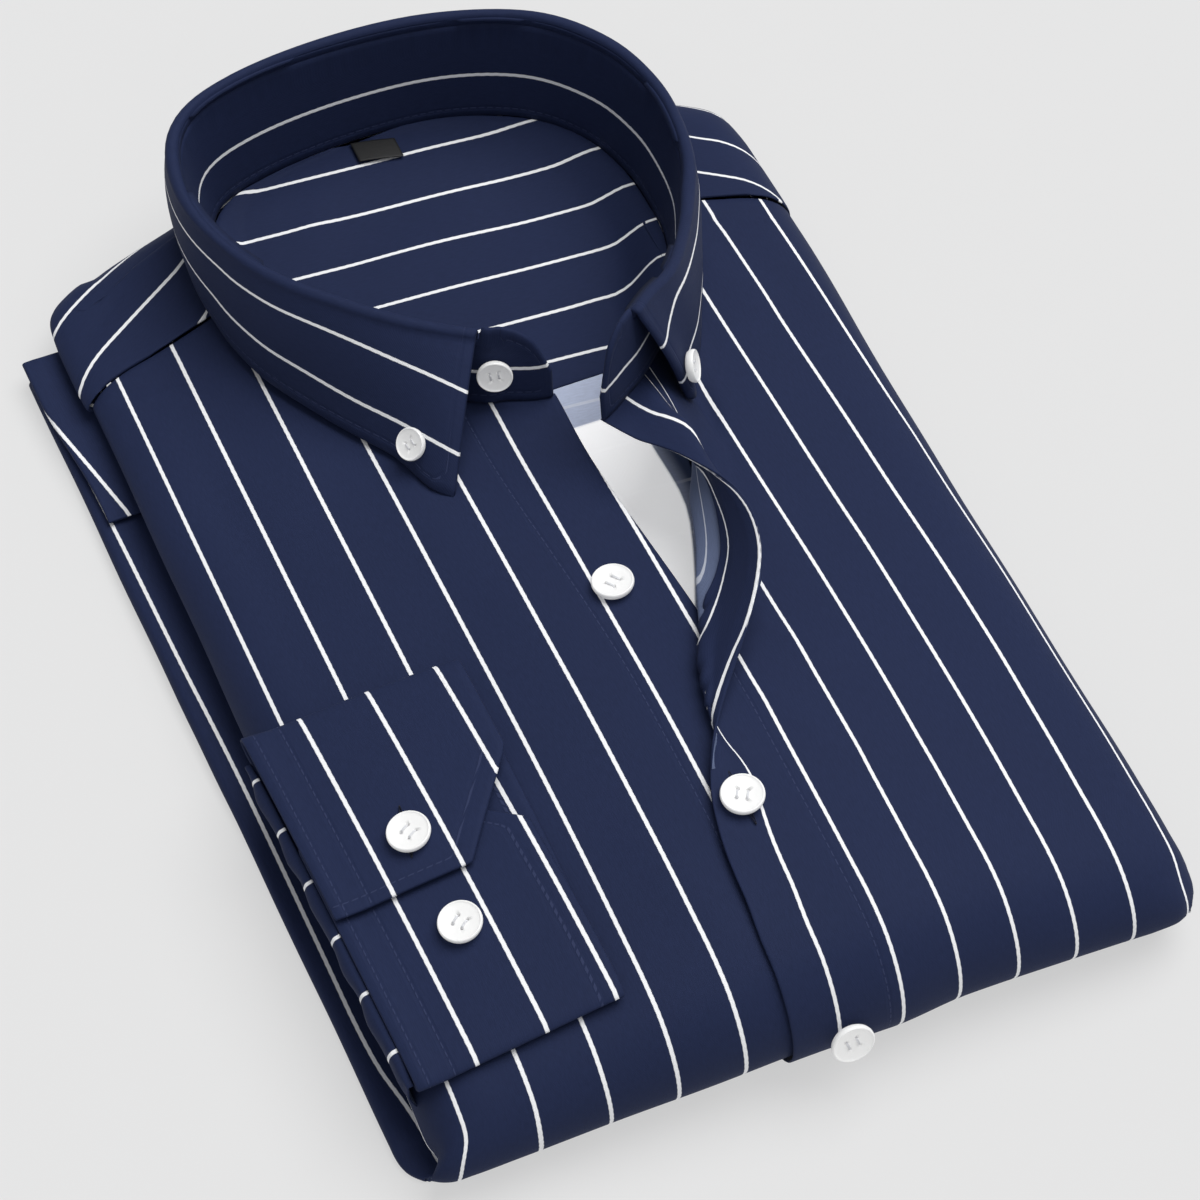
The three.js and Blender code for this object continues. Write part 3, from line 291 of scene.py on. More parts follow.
def finer(grid, times, axis):
    g = np.moveaxis(grid, axis, 0)
    h = np.maximum(lengths(g), 1e-6)[..., None]
    d = (g[1:] - g[:-1]) / h
    m = np.empty_like(g)
    m[1:-1] = (d[:-1] * h[1:] + d[1:] * h[:-1]) / (h[:-1] + h[1:])
    m[0] = 1.5 * d[0] - 0.5 * m[1] if len(g) > 2 else d[0]
    m[-1] = 1.5 * d[-1] - 0.5 * m[-2] if len(g) > 2 else d[-1]
    out = [hermite(g[:-1], g[1:], m[:-1] * h, m[1:] * h, t / times) for t in range(times)]
    out = np.stack(out, 1).reshape(-1, *g.shape[1:])
    return np.moveaxis(np.concatenate([out, g[-1:]]), 0, axis)


def normalsOf(grid):
    p = grid[..., :3]
    along = np.empty_like(p)
    across = np.empty_like(p)
    along[1:-1], along[0], along[-1] = p[2:] - p[:-2], p[1] - p[0], p[-1] - p[-2]
    across[:, 1:-1] = p[:, 2:] - p[:, :-2]
    across[:, 0], across[:, -1] = p[:, 1] - p[:, 0], p[:, -1] - p[:, -2]
    n = np.cross(across, along)
    return n / np.maximum(np.linalg.norm(n, axis=-1, keepdims=True), 1e-9)


def moved(grid, distance):
    out = grid.copy()
    out[..., :3] += normalsOf(grid) * np.asarray(distance)[..., None]
    return out


# a crease is a soft valley or ridge: where its middle is, which way it runs, how long, wide and high
def creased(grid, creases, waviness=0.25):
    x, y = grid[..., 0], grid[..., 1]
    rise = waviness * (
        np.sin(x / 13.1 + y / 23 + 1.3) * np.sin(y / 17.7 - x / 41)
        + 0.6 * np.sin(x / 7.3 - y / 31 + 4) * np.sin(y / 29 + 2.1)
    )
    for cx, cy, way, length, width, high in creases:
        a = math.radians(way)
        u = (x - cx) * math.cos(a) + (y - cy) * math.sin(a)
        v = (y - cy) * math.cos(a) - (x - cx) * math.sin(a)
        v = v + 0.12 * width * np.sin(u / length * 5 + cx)
        rise += high * np.exp(-((v / width) ** 2)) * (1 - smooth(0.5, 1, np.abs(2 * u / length)))
    out = moved(grid, rise)
    out[..., 2] = np.maximum(out[..., 2], 0.03)  # never below the surface it lies on
    return out


def placed(name, data):
    piece = bpy.data.objects.new(name, data)
    bpy.context.scene.collection.objects.link(piece)
    return piece


def meshOf(name, points, faces, slots, corners, materials):
    mesh = bpy.data.meshes.new(name)
    mesh.from_pydata(((points + groupShift) / 1000).tolist(), [], faces.tolist())
    for material in materials:
        mesh.materials.append(material)
    mesh.polygons.foreach_set("material_index", slots.astype(np.int32))
    mesh.polygons.foreach_set("use_smooth", np.ones(len(faces), bool))
    loops = np.empty(len(mesh.loops), np.int32)
    mesh.loops.foreach_get("vertex_index", loops)
    for label, pair in (("cloth", corners[:, 0:2]), ("seams", corners[:, 2:4])):
        layer = mesh.uv_layers.new(name=label)
        layer.data.foreach_set("uv", pair[loops].astype(np.float32).ravel())
    mesh.update()
    return placed(name, mesh)


# a thin wall behind a grid of face points, with a rounded edge all round
def shell(name, face, thick, materials):
    rows, columns = face.shape[:2]
    back = moved(face, -np.full(face.shape[:2], thick))
    count = rows * columns
    ids = np.arange(count).reshape(rows, columns)
    a, b, c, d = ids[:-1, :-1], ids[:-1, 1:], ids[1:, 1:], ids[1:, :-1]
    front = np.stack([a, b, c, d], -1).reshape(-1, 4)
    behind = np.stack([a, d, c, b], -1).reshape(-1, 4) + count
    loop = np.concatenate([ids[0, :-1], ids[:-1, -1], ids[-1, :0:-1], ids[:0:-1, 0]])
    n = len(loop)
    flat = face.reshape(count, -1)
    flatBack = back.reshape(count, -1)
    inner = np.roll(flat[loop], 1, 0) + np.roll(flat[loop], -1, 0)
    tangent = np.roll(flat[loop, :3], -1, 0) - np.roll(flat[loop, :3], 1, 0)
    normal = normalsOf(face).reshape(count, 3)[loop]
    out = np.cross(tangent, normal)
    out /= np.maximum(np.linalg.norm(out, axis=-1, keepdims=True), 1e-9)
    rim = (flat[loop] + flatBack[loop]) / 2
    rim[:, :3] += out * thick * 0.4
    points = np.concatenate([flat, flatBack, rim])
    m = 2 * count + np.arange(n)
    nxt, mn = np.roll(loop, -1), np.roll(m, -1)
    edge = np.concatenate([
        np.stack([loop, m, mn, nxt], -1),
        np.stack([m, loop + count, nxt + count, mn], -1),
    ])
    faces = np.concatenate([front, behind, edge])
    slots = np.concatenate([np.zeros(len(front)), np.ones(len(behind)), np.zeros(len(edge))])
    return meshOf(name, points[:, :3], faces, slots, points[:, 3:7], materials)


def area(piece):
    return sum(face.area for face in piece.data.polygons) / 2


made = {}


# a finished piece of cloth: times is how finely its grid is divided
def clothPiece(name, nodes, grid, thick, materials, times,
               creases=(), waviness=0.25):
    face = finer(finer(grid, times[0], 0), times[1], 1)
    face = creased(face, creases, waviness)
    piece = shell(name, face, thick, materials)
    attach(piece, "root")
    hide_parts(*nodes)
    made[name] = piece
    print(name, len(piece.data.polygons), "faces,", round(area(piece), 4), "m2 of cloth")
    return piece


# shader groups
def group(name, inputs, outputs):
    tree = bpy.data.node_groups.new(name, "ShaderNodeTree")
    for label, value in inputs:
        socket = tree.interface.new_socket(label, in_out="INPUT", socket_type="NodeSocketFloat")
        socket.default_value = value
    for label in outputs:
        tree.interface.new_socket(label, in_out="OUTPUT", socket_type="NodeSocketFloat")
    return tree, tree.nodes.new("NodeGroupInput"), tree.nodes.new("NodeGroupOutput")


# shorthand for chains of Math nodes in one tree
class Maths:
    def __init__(self, tree):
        self.tree = tree

    def __call__(self, operation, *values, clamp=False):
        node = self.tree.nodes.new("ShaderNodeMath")
        node.operation = operation
        node.use_clamp = clamp
        for socket, value in zip(node.inputs, values):
            if isinstance(value, (int, float)):
                socket.default_value = value
            else:
                self.tree.links.new(value, socket)
        return node.outputs[0]

    def ramp(self, value, low, high):
        node = self.tree.nodes.new("ShaderNodeMapRange")
        node.interpolation_type = "SMOOTHSTEP"
        for socket, v in zip((node.inputs[0], node.inputs[1], node.inputs[2]), (value, low, high)):
            if isinstance(v, (int, float)):
                socket.default_value = v
            else:
                self.tree.links.new(v, socket)
        return node.outputs[0]


fullTurn = 6.2832


def stripeGroup():
    tree, start, end = group(
        "woven stripes",
        [("Across", 0), ("Along", 0), ("Pitch", cloth["pitch"]), ("Width", cloth["stripe"])],
        ["Mask"],
    )
    m = Maths(tree)
    across, along, pitch, width = start.outputs[:4]
    ragged = m("MULTIPLY", m("SINE", m("MULTIPLY", along, 2.3)), 0.03)
    shifted = m("ADD", across, m("MULTIPLY", pitch, 0.5))
    inCell = m("MULTIPLY", m("FRACT", m("DIVIDE", shifted, pitch)), pitch)
    cell = m("SUBTRACT", inCell, m("MULTIPLY", pitch, 0.5))
    off = m("ABSOLUTE", m("ADD", cell, ragged))
    half = m("MULTIPLY", width, 0.5)
    mask = m("SUBTRACT", 1, m.ramp(off, m("SUBTRACT", half, 0.12), m("ADD", half, 0.1)))
    tree.links.new(mask, end.inputs["Mask"])
    return tree


def weaveGroup():
    tree, start, end = group(
        "fine twill", [("Across", 0), ("Along", 0), ("Rib", 0.55), ("Thread", 0.28)], ["Height", "Tone"]
    )
    m = Maths(tree)
    across, along, rib, thread = start.outputs[:4]
    diagonal = m("DIVIDE", m("ADD", across, m("MULTIPLY", along, 0.9)), rib)
    ribs = m("SINE", m("MULTIPLY", diagonal, fullTurn))
    warp = m("SINE", m("MULTIPLY", m("DIVIDE", across, thread), fullTurn))
    weft = m("SINE", m("MULTIPLY", m("DIVIDE", along, thread), fullTurn))
    height = m("ADD", m("MULTIPLY", ribs, 0.32), m("MULTIPLY", m("MULTIPLY", warp, weft), 0.18))
    tree.links.new(m("ADD", m("MULTIPLY", height, 0.9), 0.5), end.inputs["Height"])
    vector = tree.nodes.new("ShaderNodeCombineXYZ")
    tree.links.new(m("MULTIPLY", across, 1.9), vector.inputs[0])
    tree.links.new(m("MULTIPLY", along, 0.35), vector.inputs[1])
    slubs = tree.nodes.new("ShaderNodeTexNoise")
    slubs.inputs["Scale"].default_value = 1
    slubs.inputs["Detail"].default_value = 3
    tree.links.new(vector.outputs[0], slubs.inputs["Vector"])
    tree.links.new(slubs.outputs[0], end.inputs["Tone"])
    return tree


def stitchGroup():
    tree, start, end = group(
        "stitch line", [("Seam", 99), ("Run", 0), ("At", 3), ("Length", 2.6)], ["Thread", "Groove"]
    )
    m = Maths(tree)
    seam, run, at, length = start.outputs[:4]
    off = m("ABSOLUTE", m("SUBTRACT", seam, at))
    dash = m("FRACT", m("DIVIDE", run, length))
    on = m("MULTIPLY", m.ramp(dash, 0.1, 0.22), m("SUBTRACT", 1, m.ramp(dash, 0.78, 0.9)))
    line = m("SUBTRACT", 1, m.ramp(off, 0.12, 0.26))
    tree.links.new(m("MULTIPLY", line, on), end.inputs["Thread"])
    tree.links.new(m("SUBTRACT", 1, m.ramp(off, 0.25, 1.1)), end.inputs["Groove"])
    return tree


stripes, weave, stitch = stripeGroup(), weaveGroup(), stitchGroup()


def linear(r, g, b):
    def one(c):
        c /= 255
        return c / 12.92 if c <= 0.04045 else ((c + 0.055) / 1.055) ** 2.4

    return (one(r), one(g), one(b), 1)


# what the cloths share, and the colours of the pale inside of the back and of the painted shade beyond its edge
weaving = {"thread": (58, 66, 98), "sheen": 0.02, "shaded": (74, 86, 116), "inside": (228, 228, 229)}


def clothMaterial(name, ground, stripe, stitches=(), ribs=0.55, rough=0.7, stripeShare=1.0, paleAndGlowing=None):
    material = bpy.data.materials.new(name)
    material.use_nodes = True
    tree = material.node_tree
    link = tree.links.new
    m = Maths(tree)
    shader = tree.nodes["Principled BSDF"]
    shader.inputs["Roughness"].default_value = rough
    shader.inputs["Specular IOR Level"].default_value = 0.1
    shader.inputs["Sheen Weight"].default_value = weaving["sheen"]
    shader.inputs["Sheen Roughness"].default_value = 0.45
    shader.inputs["Sheen Tint"].default_value = (0.62, 0.7, 1, 1)

    def uv(label):
        node = tree.nodes.new("ShaderNodeUVMap")
        node.uv_map = label
        parts = tree.nodes.new("ShaderNodeSeparateXYZ")
        link(node.outputs[0], parts.inputs[0])
        return parts.outputs[0], parts.outputs[1]

    def use(tree_, **values):
        node = tree.nodes.new("ShaderNodeGroup")
        node.node_tree = tree_
        for label, value in values.items():
            if isinstance(value, (int, float)):
                node.inputs[label].default_value = value
            else:
                link(value, node.inputs[label])
        return node

    def blend(share, a, b, kind="MIX"):
        node = tree.nodes.new("ShaderNodeMix")
        node.data_type = "RGBA"
        node.blend_type = kind
        for socket, value in ((node.inputs[0], share), (node.inputs[6], a), (node.inputs[7], b)):
            if isinstance(value, (int, float, tuple)):
                socket.default_value = value
            else:
                link(value, socket)
        return node.outputs[2]

    across, along = uv("cloth")
    seam, run = uv("seams")
    lines = use(stripes, Across=across, Along=along, Pitch=cloth["pitch"], Width=cloth["stripe"])
    threads = use(weave, Across=across, Along=along, Rib=ribs)
    place = tree.nodes.new("ShaderNodeTexCoord")
    patches = tree.nodes.new("ShaderNodeTexNoise")
    patches.inputs["Scale"].default_value = 14
    patches.inputs["Detail"].default_value = 4
    link(place.outputs["Object"], patches.inputs["Vector"])
    tone = m("ADD", m("MULTIPLY", threads.outputs["Tone"], 0.32), m("MULTIPLY", patches.outputs[0], 0.22))
    dark = tuple(c * 0.72 for c in ground[:3]) + (1,)
    light = tuple(min(1, c * 1.28) for c in ground[:3]) + (1,)
    base = blend(m("MULTIPLY", tone, 1.85, clamp=True), dark, light)
    if paleAndGlowing:
        low = m("SUBTRACT", 1, m.ramp(seam, *paleAndGlowing))
        # painted shade: the cloth beyond the edge is darkened to slate, and the pale cloth before it
        base = blend(m.ramp(run, 0.5, 5), base, linear(*weaving["shaded"]))
        base = blend(low, base, linear(*weaving["inside"]))
        link(blend(low, (0, 0, 0, 1), (1, 1, 1, 1)), shader.inputs["Emission Color"])
        shader.inputs["Emission Strength"].default_value = 0.46  # painted light: the pale cloth glows so the deep hollow looks lit
    white = blend(threads.outputs["Tone"], tuple(c * 0.94 for c in stripe[:3]) + (1,), stripe)
    height = m("MULTIPLY", threads.outputs["Height"], 0.035)
    height = m("ADD", height, m("MULTIPLY", lines.outputs["Mask"], 0.03))
    for channel, at in stitches:
        sewn = use(stitch, Seam={"seam": seam, "across": across}[channel], Run=run, At=at)
        base = blend(m("MULTIPLY", sewn.outputs["Thread"], 0.6), base, linear(*weaving["thread"]))
        height = m("SUBTRACT", height, m("MULTIPLY", sewn.outputs["Groove"], 0.12))
        height = m("ADD", height, m("MULTIPLY", sewn.outputs["Thread"], 0.12))
    colour = blend(m("MULTIPLY", lines.outputs["Mask"], stripeShare), base, white)
    link(colour, shader.inputs["Base Color"])
    roughness = m("ADD", m("MULTIPLY", patches.outputs[0], 0.12), rough - 0.06)
    link(roughness, shader.inputs["Roughness"])
    bump = tree.nodes.new("ShaderNodeBump")
    bump.inputs["Strength"].default_value = 0.8
    bump.inputs["Distance"].default_value = 0.001
    link(height, bump.inputs["Height"])
    link(bump.outputs[0], shader.inputs["Normal"])
    return material


navy = linear(34, 43, 73)
whiteYarn = linear(251, 252, 254)
paleBlue = linear(188, 197, 220)

cloths = {
    "plain": clothMaterial("navy stripe", navy, whiteYarn),
    "front": clothMaterial("navy stripe, band stitched", navy, whiteYarn, [("seam", 26)]),
    "edges": clothMaterial("navy stripe, edges stitched", navy, whiteYarn, [("seam", 3)], ribs=0.8),
    "cuff": clothMaterial("navy stripe, cuff stitched", navy, whiteYarn,
                          [("seam", 3), ("across", -12.3), ("across", -5.7)]),
    "wrong": clothMaterial("wrong side of the cloth", linear(96, 107, 136), linear(226, 230, 240),
                           rough=0.75, stripeShare=0.6),
    # the back's pale wrong side glows inside the opening: painted light
    "back": clothMaterial("wrong side of the back", paleBlue, linear(252, 252, 254),
                          rough=0.75, stripeShare=0.3, paleAndGlowing=(-0.5, 0.5)),
}
print("cloth materials made")


# fronts: a stripe's place and the distance between stripes on each, and the opened roll's divisions
frontStripes = {"buttonSide": -95.6, "buttonPitch": 18.6, "holeSide": 12.8, "holePitch": 16.95}
foldAngles = [66, 42, 18, -6, -28, -50]
sideAngles = [-48, -16, 14, 38, 64, 90]


def sideTurnAt(angle, foldAngle):
    share = (angle - sideAngles[0]) / (90 - sideAngles[0])
    opened = turn(mix(90 * share ** 1.3, angle, smooth(8, 70, foldAngle)))
    drawnIn = turn(foldAngle)["inset"] * 1.2 if foldAngle < 0 else 0
    return {**opened, "inset": mix(opened["inset"], 1, drawnIn)}


def neckPoint(row):
    return np.array([readRow(collar["x"], row), readRow(collar["y"], row), readRow(collar["z"], row)])


def neckFrame(row):
    tangent = neckPoint(min(collarRows, row + 0.5)) - neckPoint(max(0, row - 0.5))
    tangent[2] = 0
    tangent /= np.linalg.norm(tangent)
    return np.array([-tangent[1], tangent[0], 0]), tangent * (1 if row < 11 else -1)


yokeFirst, yokeLast = 7.1, 16.1
neckLine = {
    -1: [neckPoint(row) for row in steps(0, yokeFirst, 60)],
    1: [neckPoint(row) for row in steps(collarRows, yokeLast, 60)],
}


def frontTop(x, side):
    line = neckLine[side]
    reach = line[-1]
    seam = yokeSeamLeft if side < 0 else yokeSeamRight
    if x < reach[0] - 1.5 if side < 0 else x > reach[0] + 0.2:
        y = read(seam, "x", "y", x) - 0.8
        return y, mix(reach[2] - 0.6, topHeight(x, y), smooth(0, 16, abs(x - reach[0])))
    best = min(line, key=lambda point: abs(point[0] - x))
    return best[1], best[2] - cloth["gap"]


def neckLift(x, y, top):
    return (top[1] - topHeight(x, top[0])) * math.exp(-(((top[0] - y) / 15) ** 2))


def frontEdgeX(y):
    return mix(folded["edgeBottom"], folded["edgeTop"], smooth(-40, 67, y))


def foldArc(angle, turned=0):
    return 24 * math.radians(90 - angle) + turned


# carries the cloth's across measure on by length along a row, from column first towards last
def withSides(points, across, first, last, step):
    for i in range(first + step, last + step, step):
        across[i] = across[i - step] + step * np.linalg.norm(points[i] - points[i - step])
    return across


def buttonFront():
    flat = steps(0, 1, 11)
    count = len(sideAngles) + len(flat) - 1
    inner = len(sideAngles) - 1
    rows = []

    def column(i, y):
        if i <= inner:
            across = turn(sideAngles[i])
            return leftAt(y) + folded["sideTurn"] * across["inset"], across
        return mix(leftAt(y) + folded["sideTurn"], frontEdgeX(y), flat[i - inner]), onTop

    def row(points, xs, along, ys):
        across = [(x - frontStripes["buttonSide"]) / frontStripes["buttonPitch"] * cloth["pitch"] for x in xs]
        withSides(points, across, inner, 0, -1)
        seam = [frontEdgeX(y) - x for x, y in zip(xs, ys)]
        rows.append([[*p, a, t, s, t] for p, a, t, s in zip(points, across, along, seam)])

    for share in [0, 0.03, 0.07, 0.12, 0.18, 0.26, 0.35, 0.45, 0.55, 0.65, 0.75, 0.85, 0.93, 1]:
        points, xs, ys = [], [], []
        for i in range(count):
            x, across = column(i, mix(80, folded["bottom"] + folded["foldTurn"], share))
            top = frontTop(x, -1)
            y = mix(top[0], bottomAt(x) + folded["foldTurn"], share)
            floor = mix(folded["sleeveStack"], folded["underside"], smooth(-112, -124, y))
            points.append(bodyPoint(x, y, across, onTop, floor, neckLift(x, y, top)))
            xs.append(x)
            ys.append(y)
        row(points, xs, [-y for y in ys], ys)
    start = -(folded["bottom"] + folded["foldTurn"])
    for angle in foldAngles:
        along = turn(angle)
        points, xs = [], []
        for i in range(count):
            x, across = column(i, folded["bottom"])
            if i <= inner:
                across = sideTurnAt(sideAngles[i], angle)
                x = leftAt(folded["bottom"]) + folded["sideTurn"] * across["inset"]
            xs.append(x)
            nearSide = 1 - smooth(0, 34, x - leftAt(folded["bottom"]))
            x -= folded["spread"] * smooth(50, 0, angle) * nearSide
            y = bottomAt(x) + folded["foldTurn"] * along["inset"]
            points.append(bodyPoint(x, y, across, along, folded["underside"]))
        row(points, xs, [start + foldArc(angle)] * count, [-143] * count)
    return np.array(rows)[::-1]


def overlapAt(x):
    return folded["overlap"] * (1 - smooth(20, 44, x))


def openControl(row, part):
    if row == 0:
        return neckPoint(collarRows - [0, 3, 4, 5][part]) - [0, 0, cloth["gap"]]
    letter = "emcp"[part]
    x, y = openFront[letter + "x"][row - 1], openFront[letter + "y"][row - 1]
    up = overlapAt(x) if letter == "p" else openFront[letter + "Up"][row - 1]
    return np.array([x, y, topHeight(x, y) + up])


openColumns = [[openControl(row, part) for row in range(13)] for part in range(4)]


def openPoint(row, part):
    return readRow([readRow(column, row) for column in openColumns], part)


openParts = [
    0, 0.15, 0.3, 0.48, 0.65, 0.83, 1, 1.17, 1.35, 1.52, 1.7, 1.85, 2, 2.15, 2.3, 2.48, 2.65, 2.83, 3,
]
openRows = [0, 0.35, 0.7, *steps(1, 12, 22)]


def buttonholeFront():
    flat = [0.12, 0.28, 0.46, 0.64, 0.82]
    angles = sideAngles[::-1]
    beyond = len(flat) + len(angles)
    inner = len(openParts) + len(flat)
    rows = []

    def column(start, k, y, foldAngle=90):
        if k < len(flat):
            return mix(start, rightAt(y) - folded["sideTurn"], flat[k]), onTop
        across = sideTurnAt(angles[k - len(flat)], foldAngle)
        return rightAt(y) - folded["sideTurn"] * across["inset"], across

    def row(points, xs, along, number=12):
        # near its edge the cloth is measured along the roll, and beyond the crease along the front
        rolled = travel(np.array(points))
        share = [float(smooth(1, 1.9, part)) for part in openParts] + [1] * beyond
        fromEdge = [mix(r, x + 7.5, s) for r, x, s in zip(rolled, xs, share)]
        first = frontStripes["holeSide"]
        early = read(outerStripe, "row", "at", number) - first
        past = [d - first - early * (1 - float(smooth(12, 26, d))) for d in fromEdge]
        across = [d / frontStripes["holePitch"] * cloth["pitch"] for d in past]
        withSides(points, across, inner, inner + len(angles) - 1, 1)
        rows.append([[*p, a, t, s, t] for p, a, t, s in zip(points, across, along, fromEdge)])

    for number in openRows:
        points = [openPoint(number, part) for part in openParts]
        start = points[-1]
        fade = 1 - smooth(0, 7, number)
        xs = [p[0] for p in points]
        ys = [p[1] for p in points]
        for k in range(beyond):
            x, across = column(start[0], k, start[1] + 60 * (1 - number / 12))
            top = frontTop(x, 1)
            y = start[1] + (top[0] - neckPoint(collarRows - 5)[1]) * fade
            lift = neckLift(x, y, top) + overlapAt(x)
            points.append(bodyPoint(x, y, across, onTop, folded["underside"], lift))
            xs.append(x)
            ys.append(y)
        row(points, xs, [-y for y in ys], number)
    ex, start = openFront["ex"][-1], openFront["px"][-1]
    for angle in [90, *foldAngles]:
        along = turn(angle)
        columns = [(mix(ex - 1, start, part / 3), onTop) for part in openParts]
        columns += [column(start, k, folded["bottom"], angle) for k in range(beyond)]
        points = []
        for x, across in columns:
            y = bottomAt(x) + (folded["foldTurn"] + overlapAt(x)) * along["inset"] - overlapAt(x)
            floor = folded["underside"] - 0.8 * overlapAt(x) * along["down"]
            points.append(bodyPoint(x, y, across, along, floor, overlapAt(x)))
        length = -(folded["bottom"] + folded["foldTurn"]) + foldArc(angle)
        row(points, [x for x, _ in columns], [length] * len(columns))
    return np.array(rows)[::-1]


def placketFacing():
    parts = np.linspace(0, 2.25, 46)
    numbers = [number for number in openRows if number <= 9.5]
    rows = []
    for number in numbers:
        at = max(0.08, number)
        far = travel(np.array([openPoint(at, part) for part in parts]))
        wide, first, second = [read(facingPlan, "row", key, number) for key in ("wide", "first", "second")]
        line = []
        for share in steps(0, 1, 14):
            d = share * min(wide, far[-1])
            point = openPoint(at, float(np.interp(d, far, parts)))
            line.append([*point, (d - first) / (second - first) * cloth["pitch"], -point[1], d, -point[1]])
        rows.append(line)
    grid = np.array(rows)[::-1]
    flatter = np.array([1 - 0.4 * float(smooth(6.5, 9, number)) for number in numbers])[::-1]
    depth = np.outer(flatter, np.interp(steps(0, 1, 14), [0, 0.2, 0.6, 1], [-0.9, -1.6, -2, -1.5]))
    return moved(grid, depth)[:, ::-1]


frontCreases = [
    (-88, 128, -12, 26, 2.2, -0.9), (-72, 126, -62, 30, 3, 0.7), (-94, 118, 20, 18, 2.5, -0.6),
    (-62, 96, -75, 60, 6, 0.7), (-30, 30, -80, 90, 8, 0.6), (-60, -5, 8, 50, 6, -0.5),
    (-20, -100, -70, 60, 7, 0.5), (-80, 60, -84, 80, 7, -0.6),
    (96, 116, -18, 26, 2.4, -0.7), (80, 100, -70, 60, 6, 0.7), (60, 20, -82, 80, 8, -0.5),
    (85, -40, -88, 90, 8, 0.6), (55, -110, -80, 60, 7, 0.5), (100, 60, -85, 90, 6, -0.6),
    (30, -70, -62, 46, 5, 0.6), (38, -40, -58, 40, 4, 0.6),
]

clothPiece("frontButtonSide", ["front_button_side"], buttonFront(), cloth["body"],
           [cloths["front"], cloths["wrong"]], (4, 5),
           frontCreases, 0.22)
clothPiece("frontButtonholeSide", ["front_buttonhole_side"], buttonholeFront(), cloth["body"],
           [cloths["front"], cloths["wrong"]], (3, 3),
           frontCreases, 0.22)
# down the band the facing is folded double, so its underside is the right side of the cloth too
for face in made["frontButtonholeSide"].data.polygons:
    x, y = face.center.x * 1000 - groupShift[0], face.center.y * 1000 - groupShift[1]
    if y < -46 and x < 26:
        face.material_index = 0
clothPiece("placketFacing", ["placket_facing"], placketFacing(), 0.5, [cloths["front"], cloths["wrong"]],
           (3, 2), (), 0.05)


# collar: where the leaf starts and ends along the stand, the roll's radius, how far the stand's top lies
# under it, and how high up the stand its stripe runs
leafFirst, leafLast = 3.1, 22
collarCut = {"rollRadius": 1.9, "standUnder": 4.2, "stripeUp": 11.5}


def standPoint(row, height, out=0):
    lean = math.radians(readRow(collar["lean"], row))
    outward, _ = neckFrame(row)
    return (neckPoint(row) + outward * (height * math.sin(lean) + out * math.cos(lean))
            + np.array([0, 0, height * math.cos(lean) - out * math.sin(lean)]))


def standGrid():
    rows = [
        *steps(0, leafFirst - 0.14, 14),
        *steps(leafFirst - 0.08, leafLast + 0.08, 76),
        *steps(leafLast + 0.14, collarRows, 12),
    ]
    ends = travel(np.array([neckPoint(row) for row in rows]))
    grid = []
    for share in steps(0, 1, 8):
        line = []
        for row, run in zip(rows, ends):
            high = readRow(collar["high"], row)
            top = high - collarCut["standUnder"] if leafFirst - 0.1 < row < leafLast + 0.1 else high
            height = cloth["gap"] + (top - cloth["gap"]) * share
            middle = collarCut["stripeUp"] + 4 * float(smooth(3, 9, row)) * float(smooth(24, 18, row))
            toEnd = min(run, ends[-1] - run)
            seam = min(height, top - height if toEnd < 14 else 99, toEnd + 0.5)
            line.append([*standPoint(row, height), min(9, max(-9, height - middle)), run, seam, run])
        grid.append(line)
    return np.array(grid)


def leafPoint(row, roll=None, fall=0, below=None):
    high = readRow(collar["high"], row)
    if below is not None:
        return standPoint(row, high - below)
    a = math.radians(roll)
    radius = collarCut["rollRadius"]
    onRoll = standPoint(row, high - radius + math.sin(a) * radius, radius - math.cos(a) * radius)
    if not fall:
        return onRoll
    flare = math.radians(readRow(collar["flare"], row))
    deep = (readRow(collar["deep"], row) + 3.2 * max(0, 1 - (row - leafFirst) / 0.7) ** 2) * fall
    outward, towardsBack = neckFrame(row)
    bow = math.sin(fall * math.pi) * 1.5
    return (onRoll + outward * (deep * math.sin(flare) + bow * math.cos(flare))
            + towardsBack * readRow(collar["trail"], row) * fall
            + np.array([0, 0, bow * math.sin(flare) - deep * math.cos(flare)]))


def leafGrid():
    parts = [{"below": 3.8}, {"below": 1.9}, *[{"roll": a} for a in (0, 30, 60, 90, 120, 150, 180)]]
    parts += [{"roll": 180, "fall": f} for f in (0.08, 0.2, 0.33, 0.45, 0.58, 0.72, 0.86, 1)]
    rows = steps(leafFirst, leafLast, 76)
    points = np.array([[leafPoint(row, **part) for row in rows] for part in parts])
    down = np.stack([travel(points[:, i]) for i in range(len(rows))], 1)
    run = travel(points[5])
    rim = down[5]  # the fifth line lies on the roll's crest
    grid = []
    for j in range(len(parts)):
        line = []
        far = travel(points[j])
        for i in range(len(rows)):
            fromRim = down[j, i] - rim[i]
            edge = down[-1, i] - down[j, i]
            end = min(far[i], far[-1] - far[i])
            first, second = [read(leafStripes, "row", key, rows[i]) for key in ("upper", "lower")]
            if fromRim < second:
                across = (fromRim - first) / (second - first) * cloth["pitch"]
            else:
                across = cloth["pitch"] + (fromRim - second) * 0.95
            if across < -9:
                across = -9 - (across + 9) * 0.42
            line.append([*points[j, i], across, run[i], min(edge, end), run[i]])
        grid.append(line)
    return np.array(grid)


clothPiece("collarStand", ["collar_stand"], standGrid(), cloth["stiff"], [cloths["edges"], cloths["edges"]],
           (2, 2), (), 0.04)
clothPiece("collarLeaf", ["collar_leaf"], leafGrid(), cloth["stiff"], [cloths["edges"], cloths["edges"]],
           (2, 2),
           [(-40, 100, -50, 60, 8, 0.5), (66, 120, 80, 50, 8, 0.5), (-56, 150, 85, 40, 7, -0.5)],
           0.2)
print("collar made")


